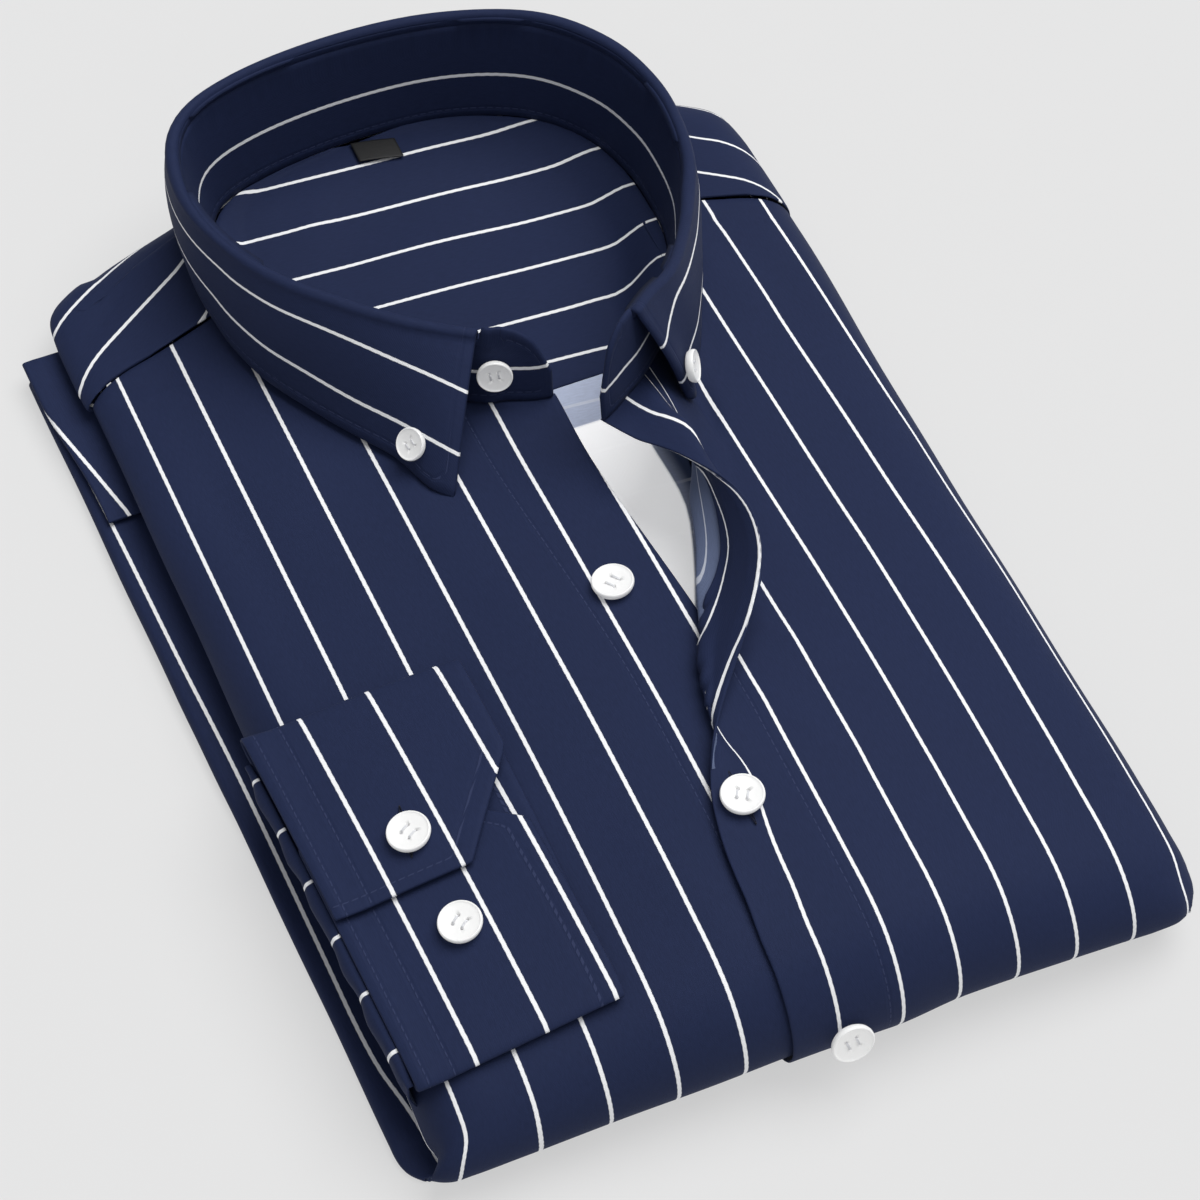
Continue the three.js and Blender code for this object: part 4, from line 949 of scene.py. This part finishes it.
# yokes and the inside of the neck
# on each shoulder: the way across the stripes, where one lies and how far apart they are
yokeStripes = {
    "left": {"x": -0.535, "y": 0.845, "at": 176.9, "pitch": 19.2},
    "right": {"x": 0.59, "y": 0.807, "at": 168, "pitch": 15.6},
    "middleAt": 190,
}


def yokeEdge(share):
    at = share * (len(yokeOutline["x"]) - 1)
    return np.array([readRow(yokeOutline["x"], at), readRow(yokeOutline["y"], at), 0.0])


def yokeAway(share):
    before, after = yokeEdge(max(0, share - 0.02)), yokeEdge(min(1, share + 0.02))
    away = np.array([before[1] - after[1], after[0] - before[0], 0])
    return away / np.linalg.norm(away)


def yokeRay(share, angle, out):
    edge, away = yokeEdge(share), yokeAway(share)
    row = mix(yokeFirst, yokeLast, share)
    neck = neckPoint(row) + neckFrame(row)[0] * 2.5
    neckZ, neck[2] = neck[2], 0
    reach = shoulderTurnAt(edge[0])
    onSeam = max(1 - smooth(0, 0.1, share), smooth(0.9, 1, share))

    def alongSeam(point):
        seam = read(yokeSeamLeft if share < 0.5 else yokeSeamRight, "x", "y", point[0])
        point[1] = mix(point[1], seam + 0.3, onSeam)
        return point

    if angle is None:
        at = alongSeam(mix(neck, edge - away * reach, out))
        lift = (neckZ - 0.9 - topHeight(neck[0], neck[1])) * (1 - smooth(0, 1, out))
        return bodyPoint(at[0], at[1], onTop, onTop, 0, lift)
    edgeTurn = turn(angle)
    at = alongSeam(edge - away * reach * edgeTurn["inset"])
    floor = folded["sleeveStack"] + 1 if at[0] < -90 else folded["underside"]
    return bodyPoint(at[0], at[1], edgeTurn, onTop, mix(floor, folded["underside"], smooth(-96, -80, at[0])))


def yokeStripe(side, x, y):
    s = yokeStripes[side]
    across = (s["x"] * x + s["y"] * y - s["at"]) / s["pitch"] * cloth["pitch"]
    return across, s["y"] * x - s["x"] * y


def yokeGrid():
    shares = steps(0, 1, 64)
    points = np.array(
        [[yokeRay(s, None, out) for s in shares] for out in (0, 0.2, 0.4, 0.6, 0.8, 1)]
        + [[yokeRay(s, angle, 1) for s in shares] for angle in (60, 30, 5, -25, -50)]
    )
    turned = np.stack([travel(points[5:, i]) for i in range(len(shares))], 1)
    x, y = points[..., 0].copy(), points[..., 1].copy()
    for i, share in enumerate(shares):
        # past the shoulder fold the stripes run on over the edge
        away = yokeAway(share)
        for j in range(5, len(points)):
            x[j, i] = points[5, i, 0] + away[0] * turned[j - 5, i]
            y[j, i] = points[5, i, 1] + away[1] * turned[j - 5, i]
    leftAcross, leftAlong = yokeStripe("left", x, y)
    rightAcross, rightAlong = yokeStripe("right", x, y)
    offLeft, onRight = smooth(-66, -30, x), smooth(40, 76, x)
    across = mix(mix(leftAcross, y - yokeStripes["middleAt"], offLeft), rightAcross, onRight)
    along = mix(mix(leftAlong, x, offLeft), rightAlong, onRight)
    seams = np.empty_like(x)
    for i, share in enumerate(shares):
        seam = yokeSeamLeft if share < 0.5 else yokeSeamRight
        fromEnd = abs(share - 0.5 - math.copysign(0.5, share - 0.5)) * 60
        for j in range(len(points)):
            seams[j, i] = points[j, i, 1] - read(seam, "x", "y", points[j, i, 0]) + fromEnd
    grid = np.concatenate([points, np.stack([across, along, seams, x], -1)], -1)
    return grid[:, ::-1]


def seamAt(y, side):
    low, high = (3 if side < 0 else 19), 11.05
    for _ in range(24):
        middle = (low + high) / 2
        if readRow(collar["y"], middle) < y:
            low = middle
        else:
            high = middle
    return neckPoint((low + high) / 2)


def hollowSides(y):
    byNeck = float(smooth(80, 88, y))
    neckY = min(y, 194.8)  # the neck seam's highest point
    left, right = seamAt(neckY, -1), seamAt(neckY, 1)
    leftX = mix(read(openSides, "y", "left", y), left[0] + 1.6, byNeck)
    rightX = mix(read(openSides, "y", "right", y), right[0] - 1.6, byNeck)
    return leftX, rightX, left[2] + 0.25, right[2] + 0.25, byNeck


def insideTop(x, y):
    left, right, leftHigh, rightHigh, byNeck = hollowSides(y)
    floor = folded["inside"] + 2 * smooth(150, 192, y) + 9 * smooth(0, -44, y)
    nearLeft = (1 - smooth(0, 7, x - left)) * byNeck
    nearRight = (1 - smooth(0, 15, right - x)) * byNeck
    return floor + (leftHigh - floor) * nearLeft + (rightHigh - floor) * nearRight


# the cloth inside the neck: how far it stays off the sides and goes under the stand, its stripes, and
# the height on the drawing below which it is pale and glows with painted light
inside = {"clear": 0.4, "under": 1.7, "slant": 0.086, "stripe": 130.9, "paleAndGlowingBelow": 66.5}


def insideGrid(ys):
    shares = [
        0, 0.03, 0.07, 0.11, 0.16, 0.23, 0.3, 0.38, 0.45, 0.53,
        0.6, 0.67, 0.73, 0.79, 0.84, 0.89, 0.93, 0.97, 1,
    ]
    rows = []
    for y in ys:
        left, right, _, _, byNeck = hollowSides(y)
        over = inside["clear"] - inside["under"] * byNeck  # by the neck it goes to the foot of the stand
        line = []
        for share in shares:
            x = mix(left + over, right - over, share)
            up = float(insideTop(min(right, max(left, x)), y))
            fromEdge = x - read(wrongEdge, "y", "x", y)
            across = y + inside["slant"] * x - inside["stripe"]
            line.append([x, y, up, across, x, max(y - inside["paleAndGlowingBelow"], fromEdge), fromEdge])
        rows.append(line)
    return np.array(rows)


clothPiece("yokeOuter", ["yoke_outer"], yokeGrid(), cloth["body"], [cloths["edges"], cloths["plain"]],
           (3, 2),
           [(-92, 160, 40, 30, 3, 0.6), (-72, 178, 30, 24, 3, -0.5), (96, 160, -40, 30, 3, 0.6)],
           0.2)
clothPiece("yokeLining", ["yoke_inner"],
           insideGrid([82.5, 86, 90, 94, 98, 103, 108, 120, 134, 150, 166, 180, 188, 192, 194.6]),
           cloth["body"], [cloths["plain"], cloths["wrong"]], (3, 2),
           [(10, 150, 12, 60, 7, 0.6), (20, 110, -8, 60, 6, -0.6), (-20, 170, 60, 30, 5, 0.5)],
           0.3)
clothPiece("backInside", ["back_inside"], insideGrid([-43, -36, -24, -8, 10, 28, 46, 64, 70, 76, 79, 82]),
           cloth["body"], [cloths["back"], cloths["plain"]], (3, 2),
           [(30, 20, 80, 60, 6, 0.5), (24, 60, 30, 40, 6, -0.6)], 0.3)
print("yokes made")


# the back lies on the surface and comes up in rounded folds, one on another, under the fronts
# how far its edge lies in from the shirt's sides, shoulders and lower fold, and its unevenness
layers = {"right": 12, "left": 18, "shoulder": 1.5, "bottom": 19, "flat": 0.05, "long": 0.7, "short": 0.4}


def backLayers():
    plan = []
    for y in steps(-118, 150, 26):
        plan.append((rightAt(y) - layers["right"], y, 1, 0))
    plan += [(rightAt(155) - 14, 161, 0.9, 0.4), (rightAt(160) - 20, 168, 0.6, 0.8)]
    for x in steps(90, -84, 20):
        y = read(shoulderLine, "x", "y", x) - shoulderTurnAt(x) - layers["shoulder"]
        plan.append((x, y, 0, 1))
    plan += [(leftAt(160) + 20, 168, -0.6, 0.8), (leftAt(155) + 16, 160, -0.9, 0.4)]
    for y in steps(150, -112, 26):
        plan.append((leftAt(y) + layers["left"], y, -1, 0))
    plan += [(leftAt(-120) + 21, -120, -0.9, -0.4), (leftAt(-126) + 27, -124, -0.6, -0.8)]
    for x in steps(-70, 84, 20):
        plan.append((x, bottomAt(x) + layers["bottom"], 0, -1))
    plan += [(rightAt(-126) - 20, -128, 0.6, -0.8), (rightAt(-120) - 14, -122, 0.9, -0.4)]
    # out is how far each line of the folds stands out of the plan's outline, and up its height
    profile = [
        (0, layers["flat"]), (2.6, 0.35), (4.6, 1.5), (3.4, 2.6), (1.2, 3), (3.6, 3.4),
        (6.2, 4.6), (5.2, 5.9), (2.4, 6.4), (5, 6.9), (7.4, 8.2), (6.2, 9.6), (3.2, 10.2), (-2, 10.6),
    ]
    closed = [*plan, plan[0]]
    # the flat underside, drawn in towards its middle
    rows = [
        [[x * t, mix(10, y, t), layers["flat"], 0, 0, 99, 0] for x, y, _, _ in closed]
        for t in (0.015, 0.1, 0.3, 0.5, 0.7, 0.85, 0.95)
    ]
    inner = len(rows)
    total = travel(np.array([[x, y, 0] for x, y, _, _ in plan]))
    whole = total[-1] + 8
    for k, (out, up) in enumerate(profile):
        line = []
        for i, (x, y, nx, ny) in enumerate(closed):
            run = total[i] if i < len(plan) else whole
            uneven = layers["long"] * math.sin(run / 37 + k // 4 * 2) + layers["short"] * math.sin(run / 13 + k)
            uneven *= float(smooth(0, 30, run) * smooth(0, 30, whole - run))
            size = math.hypot(nx, ny)
            reach = out + (uneven if 0 < k < 12 else 0) - (2.6 if nx < -0.5 and up > 5 else 0)
            tall = up * (1 + 0.06 * math.sin(run / 51 + k // 4)) if k > 0 else up
            line.append([x + nx / size * reach, y + ny / size * reach, tall, run, 0, 99, run])
        rows.append(line)
    grid = np.array(rows)
    grid[..., 4] = np.stack([travel(grid[:, i]) for i in range(grid.shape[1])], 1)
    # the stripes run along the shirt, so they cross the bottom and shoulder folds and follow the sides
    nx = np.array([n[2] for n in closed])
    x = grid[..., 0]
    aroundSide = np.sign(x) * (100 + grid[..., 4] - grid[inner, :, 4])
    grid[..., 3] = np.where(np.abs(nx) < 0.5, x, aroundSide)
    grid[:inner, :, 3] = x[:inner]
    return grid


clothPiece("backLayers", ["folded_layers"], backLayers(), cloth["body"], [cloths["plain"], cloths["plain"]],
           (2, 2), (), 0.0)


# sleeve and cuff: how far the sleeve reaches in under the body and how high it is, both less at its end,
# and the gathers where it is set into the cuff
sleeve = {"in": 9.3, "endIn": 7.3, "high": 5.2, "wave": 0.6, "endDrop": 3.4}
gathers = {"deep": 0.45, "pitch": 18.4, "at": -21}


def cuffSeamAt(y):
    return mix(-107.6, -103, (-8 - y) / 116)


def cuffBase(x, y):
    return topHeight(max(x, leftAt(y) + 6), y)


def sleeveStrip(ys, low, high, inner, across, inset=lambda y: 0):
    rows = []
    for y in ys:
        x = read(sleeveEdge, "y", "x", y) + inset(y)
        middle, half = (low(y) + high(y)) / 2, (high(y) - low(y)) / 2
        line = [[mix(inner(y), x + half, t), y, high(y)] for t in (0, 0.35, 0.7)]
        for a in [math.radians(90 + 22.5 * k) for k in range(9)]:
            line.append([x + half + half * math.cos(a), y, middle + half * math.sin(a)])
        line += [[mix(x + half, inner(y), t), y, low(y)] for t in (0.3, 0.65, 1)]
        far = travel(np.array(line))
        rows.append([[*p, across(line[0][0] - d, y), -y, 99, -y] for p, d in zip(line, far)])
    return np.array(rows)[:, ::-1]


def underBody(y):
    return leftAt(min(y, 160)) + sleeve["in"] - sleeve["endIn"] * float(smooth(-112, -131, y))


def sleeveTop(y):
    drop = sleeve["endDrop"] * float(smooth(-114, -131, y))
    return sleeve["high"] + sleeve["wave"] * math.sin(y / 26) - drop


sleeveRows = [
    -130.8, -129.5, -127.5, -125, -122, -119, -110, -100, -85, -70, -52, -35, -17, *steps(0, 140, 7), 158,
]
clothPiece("sleeveFolded", ["sleeve_folded"],
           sleeveStrip(sleeveRows, lambda y: 0.05, sleeveTop, underBody,
                       lambda x, y: x - read(sleeveStripe, "y", "x", y)),
           cloth["body"], [cloths["plain"], cloths["wrong"]], (3, 2),
           [(-112, 60, 88, 90, 3, 0.4), (-110, -30, 92, 70, 3, -0.4)], 0.2)
clothPiece("sleeveHeadFold", ["sleeve_head_fold"],
           sleeveStrip([97, 97.6, 99, 101, 104, 111, 118, 127, 136, 145, 154, 162.5], lambda y: 6.45,
                       lambda y: 8.2 - 0.5 * float(smooth(120, 97, y)) - 0.5 * float(smooth(99, 97, y)),
                       lambda y: underBody(y) - 2.4, lambda x, y: (x + 111.8 - (y - 117) * -0.245) * 0.97,
                       lambda y: 3.2 * float(smooth(150, 100, y))),
           cloth["body"] - 0.1, [cloths["plain"], cloths["wrong"]], (2, 2),
           (), 0.12)


def sleeveEnd():
    rows = []
    for y in [
        -119.5, -118.3, -117, -111, -105, -98, -90, -82, -75, -67,
        -60, -52, -45, -37, -30, -24, -18, -15, -12.5,
    ]:
        edge, seam = leftAt(y), cuffSeamAt(y) - 0.5
        top = cuffBase(seam + 1, y)
        stack = folded["sleeveStack"]
        tuck = float(1 - smooth(-112, -119.5, y) * 0.4 - smooth(-22, -12.5, y) * 0.4)
        gather = gathers["deep"] * math.sin((y - gathers["at"]) / gathers["pitch"] * 2 * math.pi)
        gather *= float(smooth(-12, -18, y)) * float(smooth(-120, -114, y))
        line = np.array([
            [edge + 3.2, y, mix(stack, top, 0.32)],
            [edge + 1.4, y, mix(stack, top, 0.44)],
            [edge - 0.2 + gather * 0.5, y, mix(stack, top, 0.6)],
            [edge - 2 * tuck + gather, y, mix(stack, top, 0.78)],
            [seam - 2.7 * tuck + gather, y, top + 0.2],
            [seam - 1.6, y, top + 2.5 * tuck],
            [seam, y, top + 3.2 * tuck],
        ])
        far = travel(line)
        across = gathers["at"] - y
        rows.append([[*p, across + 0.16 * d + 1.2 * math.sin(d / 5), d, 99, d] for p, d in zip(line, far)])
    return np.array(rows)[::-1, ::-1]


clothPiece("sleeveEnd", ["sleeve_end"], sleeveEnd(), cloth["body"], [cloths["plain"], cloths["wrong"]],
           (3, 4), (), 0.15)

# the cuff's hem, how far its cut corners draw in and how long they run, its slant and its stripes
cuffCut = {
    "hem": -46.6, "mitre": 21, "startRun": 17, "endRun": 30, "skew": 0.07,
    "stripe": 16, "pitch": 19.3, "thick": 1.1,
}


def cuffGrid():
    at = steps(0, 16, 92)
    sections = [(readRow(cuffSection["y"], k), readRow(cuffSection["up"], k)) for k in at]
    run = travel(np.array([[0, y, up] for y, up in sections]))
    whole = run[-1]
    grid = []
    for share in [0, 0.12, 0.25, 0.38, 0.5, 0.6, 0.7, 0.78, 0.85, 0.93, 1]:
        line = []
        for (y, up), far in zip(sections, run):
            begin = max(0, 1 - far / cuffCut["startRun"])
            end = max(0, 1 - (whole - far) / cuffCut["endRun"])
            hem = cuffCut["hem"] - cuffCut["mitre"] * max(begin, end) - 3 * (1 - float(smooth(0, 70, far)))
            seam = cuffSeamAt(y)
            x = mix(seam, hem, share)
            skewed = y - cuffCut["skew"] * (x + 77) * float(smooth(-110, -20, y))
            edge = min((hem - x) * 0.5, (whole - far) * 0.94, far)
            across = (x - seam - cuffCut["stripe"]) / cuffCut["pitch"] * cloth["pitch"]
            line.append([x, skewed, cuffBase(x, y) + up, across, far, edge, far + x - seam])
        grid.append(line)
    return np.array(grid)


clothPiece("turnedCuff", ["cuff"], cuffGrid(), cuffCut["thick"], [cloths["cuff"], cloths["cuff"]],
           (2, 2),
           [(-70, -30, 5, 50, 5, 0.3), (-90, -95, 80, 40, 5, -0.3)], 0.12)
print("sleeve and cuff made")


# size label
def plainMaterial(name, colour, rough, grain, depth, scale=900):
    material = bpy.data.materials.new(name)
    material.use_nodes = True
    tree = material.node_tree
    shader = tree.nodes["Principled BSDF"]
    shader.inputs["Roughness"].default_value = rough
    noise = tree.nodes.new("ShaderNodeTexNoise")
    noise.inputs["Scale"].default_value = scale
    noise.inputs["Detail"].default_value = 4
    place = tree.nodes.new("ShaderNodeTexCoord")
    tree.links.new(place.outputs["Object"], noise.inputs["Vector"])
    blend = tree.nodes.new("ShaderNodeMix")
    blend.data_type = "RGBA"
    blend.inputs[6].default_value = tuple(c * (1 - grain) for c in colour[:3]) + (1,)
    blend.inputs[7].default_value = colour
    tree.links.new(noise.outputs[0], blend.inputs[0])
    tree.links.new(blend.outputs[2], shader.inputs["Base Color"])
    bump = tree.nodes.new("ShaderNodeBump")
    bump.inputs["Strength"].default_value = 0.5
    bump.inputs["Distance"].default_value = depth
    tree.links.new(noise.outputs[0], bump.inputs["Height"])
    tree.links.new(bump.outputs[0], shader.inputs["Normal"])
    return material


def glowing(material, strength):
    inputs = material.node_tree.nodes["Principled BSDF"].inputs
    inputs["Emission Color"].default_value = (1, 1, 1, 1)
    inputs["Emission Strength"].default_value = strength
    return inputs


labelCloth = plainMaterial("label satin", linear(9, 10, 12), 0.6, 0.4, 0.0001)
labelCut = {"left": 0.6, "right": 13.8, "low": 184.6, "high": 192.4, "slant": 0.25, "bow": 0.25, "up": 1.3}


def labelGrid():
    rows = []
    wide = labelCut["right"] - labelCut["left"]
    for y in steps(labelCut["low"], labelCut["high"], 8):
        line = []
        for x in steps(labelCut["left"], labelCut["right"], 10):
            skewed = y - labelCut["slant"] * (x - 7)
            lift = labelCut["up"] + labelCut["bow"] * math.sin((x - labelCut["left"]) / wide * math.pi)
            line.append([x, skewed, float(insideTop(x, y)) + lift, x, y, 99, x])
        rows.append(line)
    return np.array(rows)


label = clothPiece("sizeLabel", ["size_label"], labelGrid(), 0.4, [labelCloth, labelCloth],
                   (2, 2), (), 0.0)


# buttons: each kind's radius, their thickness, the gap under them, and the holes as shares of the radius
button = {"front": 6.0, "collar": 4.8, "stand": 5.2, "thick": 2.6, "gap": 0.3, "holesOut": 0.33, "hole": 0.09}
buttonResin = plainMaterial("button resin", linear(229, 229, 228), 0.22, 0.05, 0.00002, 300)
# the resin glows faintly: painted light that keeps the buttons white where they lie in shade
resinInputs = glowing(buttonResin, 0.2)
resinInputs["Subsurface Weight"].default_value = 0.15
resinInputs["Subsurface Radius"].default_value = (0.002, 0.002, 0.002)
buttonThread = plainMaterial("button thread", linear(236, 237, 240), 0.8, 0.15, 0.0001)


def finished(mesh, material):
    mesh.materials.clear()
    mesh.materials.append(material)
    for face in mesh.polygons:
        face.use_smooth = True
    return mesh


def meshFrom(body, name, material):
    bmesh.ops.recalc_face_normals(body, faces=body.faces)
    mesh = bpy.data.meshes.new(name)
    body.to_mesh(mesh)
    body.free()
    return finished(mesh, material)


# a turned button with a rolled rim, a dished middle and four holes
def buttonMesh(radius):
    t = button["thick"]
    # half its section: shares of the radius and of the thickness
    section = [
        (0, 0), (0.5, 0), (0.74, 0.02), (0.88, 0.12), (0.96, 0.34), (1.0, 0.62), (0.998, 0.76), (0.985, 0.9),
        (0.955, 0.985), (0.925, 1.0), (0.9, 0.98), (0.88, 0.93), (0.85, 0.9), (0.75, 0.87), (0.6, 0.82),
        (0.4, 0.76), (0.2, 0.73), (0, 0.72),
    ]
    body = bmesh.new()
    count = 48
    rings = []
    circle = [(math.cos(2 * math.pi * k / count), math.sin(2 * math.pi * k / count)) for k in range(count)]
    for r, z in section:
        if r == 0:
            rings.append([body.verts.new((0, 0, z * t))])
        else:
            rings.append([body.verts.new((radius * r * c, radius * r * s, z * t)) for c, s in circle])
    for lower, upper in zip(rings, rings[1:]):
        for k in range(count):
            n = (k + 1) % count
            if len(lower) == 1:
                body.faces.new((lower[0], upper[n], upper[k]))
            elif len(upper) == 1:
                body.faces.new((lower[k], lower[n], upper[0]))
            else:
                body.faces.new((lower[k], lower[n], upper[n], upper[k]))
    blank = placed("button blank", meshFrom(body, "button blank", buttonResin))
    drills = bmesh.new()
    hole, out = radius * button["hole"], radius * button["holesOut"]
    for k in range(4):
        a = math.radians(45 + 90 * k)
        place = Matrix.Translation((out * math.cos(a), out * math.sin(a), t / 2))
        bmesh.ops.create_cone(drills, cap_ends=True, segments=16, radius1=hole, radius2=hole,
                              depth=t * 2, matrix=place)
    drill = placed("drills", meshFrom(drills, "drills", buttonResin))
    cut = blank.modifiers.new("holes", "BOOLEAN")
    cut.operation = "DIFFERENCE"
    cut.object = drill
    cut.solver = "EXACT"
    bpy.context.view_layer.update()
    done = bpy.data.meshes.new_from_object(blank.evaluated_get(bpy.context.evaluated_depsgraph_get()))
    bpy.data.objects.remove(blank)
    bpy.data.objects.remove(drill)
    return finished(done, buttonResin)


# bars of sewing thread between the holes
def threadMesh(radius):
    t = button["thick"]
    body = bmesh.new()
    reach = radius * button["holesOut"] * math.sqrt(0.5)
    strandThick = radius * 0.03
    for side in (-1, 1):
        for strand in (-0.5, 0.5):
            path = []
            for k in range(9):
                u = -1 + k / 4
                up = t * (0.75 + 0.1 * (1 - u ** 4)) - (0.5 if abs(u) > 0.95 else 0)
                path.append(Vector((side * reach + strand * radius * 0.05, u * reach, up)))
            rings = []
            for point in path:
                rings.append([
                    body.verts.new(point + Vector((math.cos(a), 0, math.sin(a))) * strandThick)
                    for a in [math.pi * j / 3 for j in range(6)]
                ])
            for a, b in zip(rings, rings[1:]):
                for j in range(6):
                    body.faces.new((a[j], a[(j + 1) % 6], b[(j + 1) % 6], b[j]))
    return meshFrom(body, "button thread", buttonThread)


resin = {key: buttonMesh(button[key]) for key in ("front", "collar", "stand")}
thread = {key: threadMesh(button[key]) for key in ("front", "collar", "stand")}


def addButton(name, node, size, face, normal, spin):
    normal = Vector(normal).normalized()
    at = Vector(face + groupShift) + normal * button["gap"]
    place = Matrix.Translation(at / 1000) @ normal.to_track_quat("Z", "Y").to_matrix().to_4x4()
    place = place @ Matrix.Rotation(math.radians(spin), 4, "Z") @ Matrix.Scale(0.001, 4)
    piece = placed(name, resin[size].copy())
    sewn = placed(name + "Thread", thread[size].copy())
    for one in (piece, sewn):
        one.data.transform(place)
        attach(one, "root")
    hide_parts(node)


def surfaceNormal(surface, a, b, da, db):
    across = surface(a + da, b) - surface(a - da, b)
    along = surface(a, b + db) - surface(a, b - db)
    n = np.cross(across, along)
    return n / np.linalg.norm(n)


def onBody(lift):
    return lambda x, y: np.array([x, y, topHeight(x, y) + lift])


def onCuff(up):
    return lambda x, y: np.array([x, y, cuffBase(x, y) + up])


# a worked buttonhole: a flat oval of close stitches round a slit, laid along the surface
buttonhole = {"halfWide": 0.36, "thread": 0.3, "up": 0.15, "stitches": 40}


def addButtonhole(name, surface, x, y, way, long):
    a = math.radians(way)
    body = bmesh.new()
    rings = []
    thick = buttonhole["thread"]
    for k in range(buttonhole["stitches"]):
        t = 2 * math.pi * k / buttonhole["stitches"]
        u = (long / 2) * math.copysign(abs(math.cos(t)) ** 0.55, math.cos(t))
        v = buttonhole["halfWide"] * math.copysign(abs(math.sin(t)) ** 0.8, math.sin(t))
        centre = np.array([x + u * math.cos(a) - v * math.sin(a), y + u * math.sin(a) + v * math.cos(a)])
        bend = u * 0.15
        outwards = np.array([bend * math.cos(a) - v * math.sin(a), bend * math.sin(a) + v * math.cos(a)])
        outwards = outwards / max(1e-6, np.linalg.norm(outwards))
        ring = []
        for j in range(8):
            b = 2 * math.pi * j / 8
            r = thick * (1 + 0.12 * (k % 2))
            flat = centre + outwards * r * math.cos(b)
            point = surface(flat[0], flat[1]) + np.array([0, 0, buttonhole["up"] + thick * math.sin(b)])
            ring.append(body.verts.new((point + groupShift) / 1000))
        rings.append(ring)
    for one, two in zip(rings, rings[1:] + rings[:1]):
        for j in range(8):
            body.faces.new((one[j], two[j], two[(j + 1) % 8], one[(j + 1) % 8]))
    piece = placed(name, meshFrom(body, name, navyThread))
    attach(piece, "root")


navyThread = plainMaterial("navy thread", linear(20, 24, 40), 0.8, 0.3, 0.0001, 1500)
addButtonhole("frontButtonhole2", onBody(2.5), 3.9, -84.0, 90, 17)
addButtonhole("cuffButtonhole", onCuff(7.25), -79.6, -55.3, 80, 16)

for name, node, surface, x, y, spin in (
    ("frontButton1", "front_button_1", onBody(0.2), 1.9, -4.6, 20),
    ("frontButton2", "front_button_2", onBody(2.7), 3.8, -84.2, 8),
    ("cuffButton1", "cuff_button_1", onCuff(7.6), -79, -57, 35),
    ("cuffButton2", "cuff_button_2", onCuff(4.9), -76.5, -86, 28),
):
    addButton(name, node, "front", surface(x, y), surfaceNormal(surface, x, y, 4, 4), spin)
# the third front button lies on the lower fold, facing forwards
addButton("frontButton3", "front_button_3", "front", np.array([6.2, -146.9, 21.6]), (-0.05, -0.95, 0.3), 15)


def outerStand(row, height):
    return standPoint(row, height, 1.8)


def outerLeaf(row, fall):
    return leafPoint(row, roll=180, fall=fall)


standAt = (2.5, 11.5)  # its row along the stand, and how high up
standNormal = -surfaceNormal(outerStand, *standAt, 0.4, 3)
addButton("standButton", "collar_stand_button", "stand", outerStand(*standAt) + standNormal * 0.3, standNormal, 10)
for name, node, row, fall, spin in (
    ("pointButtonRight", "collar_point_button_right", 3.62, 0.8, 70),
    ("pointButtonLeft", "collar_point_button_left", 21.5, 0.7, 40),
):
    normal = surfaceNormal(outerLeaf, row, fall, 0.3, 0.1)
    addButton(name, node, "collar", outerLeaf(row, fall) + normal * 0.3, normal, spin)
print("buttons made")


# floor, light and camera
studio = {"floor": (126, 126, 126), "floorGlow": 0.55, "world": 0.28, "key": 2.5, "fill": 0.36}
view = {"elevation": 55, "azimuth": 23.6, "away": 3500 / 3.6, "lens": 105, "lookUp": 30}

floor = bpy.data.meshes.new("floor")
floor.from_pydata([(-6, -6, 0), (6, -6, 0), (6, 6, 0), (-6, 6, 0)], [], [(0, 1, 2, 3)])
floorPiece = placed("floor", floor)
floorPiece.location.z = -0.0003
paleFloor = plainMaterial("pale floor", linear(*studio["floor"]), 0.9, 0.02, 0.0001, 60)
glowing(paleFloor, studio["floorGlow"])
floor.materials.append(paleFloor)

world = bpy.data.worlds.new("studio")
world.use_nodes = True
world.node_tree.nodes["Background"].inputs[0].default_value = (0.96, 0.97, 1, 1)
world.node_tree.nodes["Background"].inputs[1].default_value = studio["world"]
bpy.context.scene.world = world


def softLight(name, comesFrom, wide, strength):
    light = bpy.data.lights.new(name, "SUN")
    light.angle = math.radians(wide)
    light.energy = strength
    placed(name, light).rotation_euler = Vector(comesFrom).to_track_quat("Z", "Y").to_euler()


softLight("key", (0.42, 0.14, 1.0), 50, studio["key"])
softLight("fill", (-0.15, -0.75, 0.8), 70, studio["fill"])

camera = bpy.data.cameras.new("camera")
camera.lens = view["lens"]
camera.sensor_width = 36
camera.clip_start = 0.05
viewer = placed("camera", camera)
elevation, azimuth = math.radians(view["elevation"]), math.radians(view["azimuth"])
level = math.cos(elevation)
back = Vector((-math.sin(azimuth) * level, -math.cos(azimuth) * level, math.sin(elevation)))
right = Vector((math.cos(azimuth), -math.sin(azimuth), 0))
up = back.cross(right)
target = Vector(np.array([0, 0, view["lookUp"]]) + groupShift)
turned = Matrix((right, up, back)).transposed().to_4x4()
viewer.matrix_world = Matrix.Translation((target + back * view["away"]) / 1000) @ turned
bpy.context.scene.camera = viewer
bpy.context.scene.view_settings.view_transform = "Standard"

bpy.context.view_layer.update()
print("scene ready")
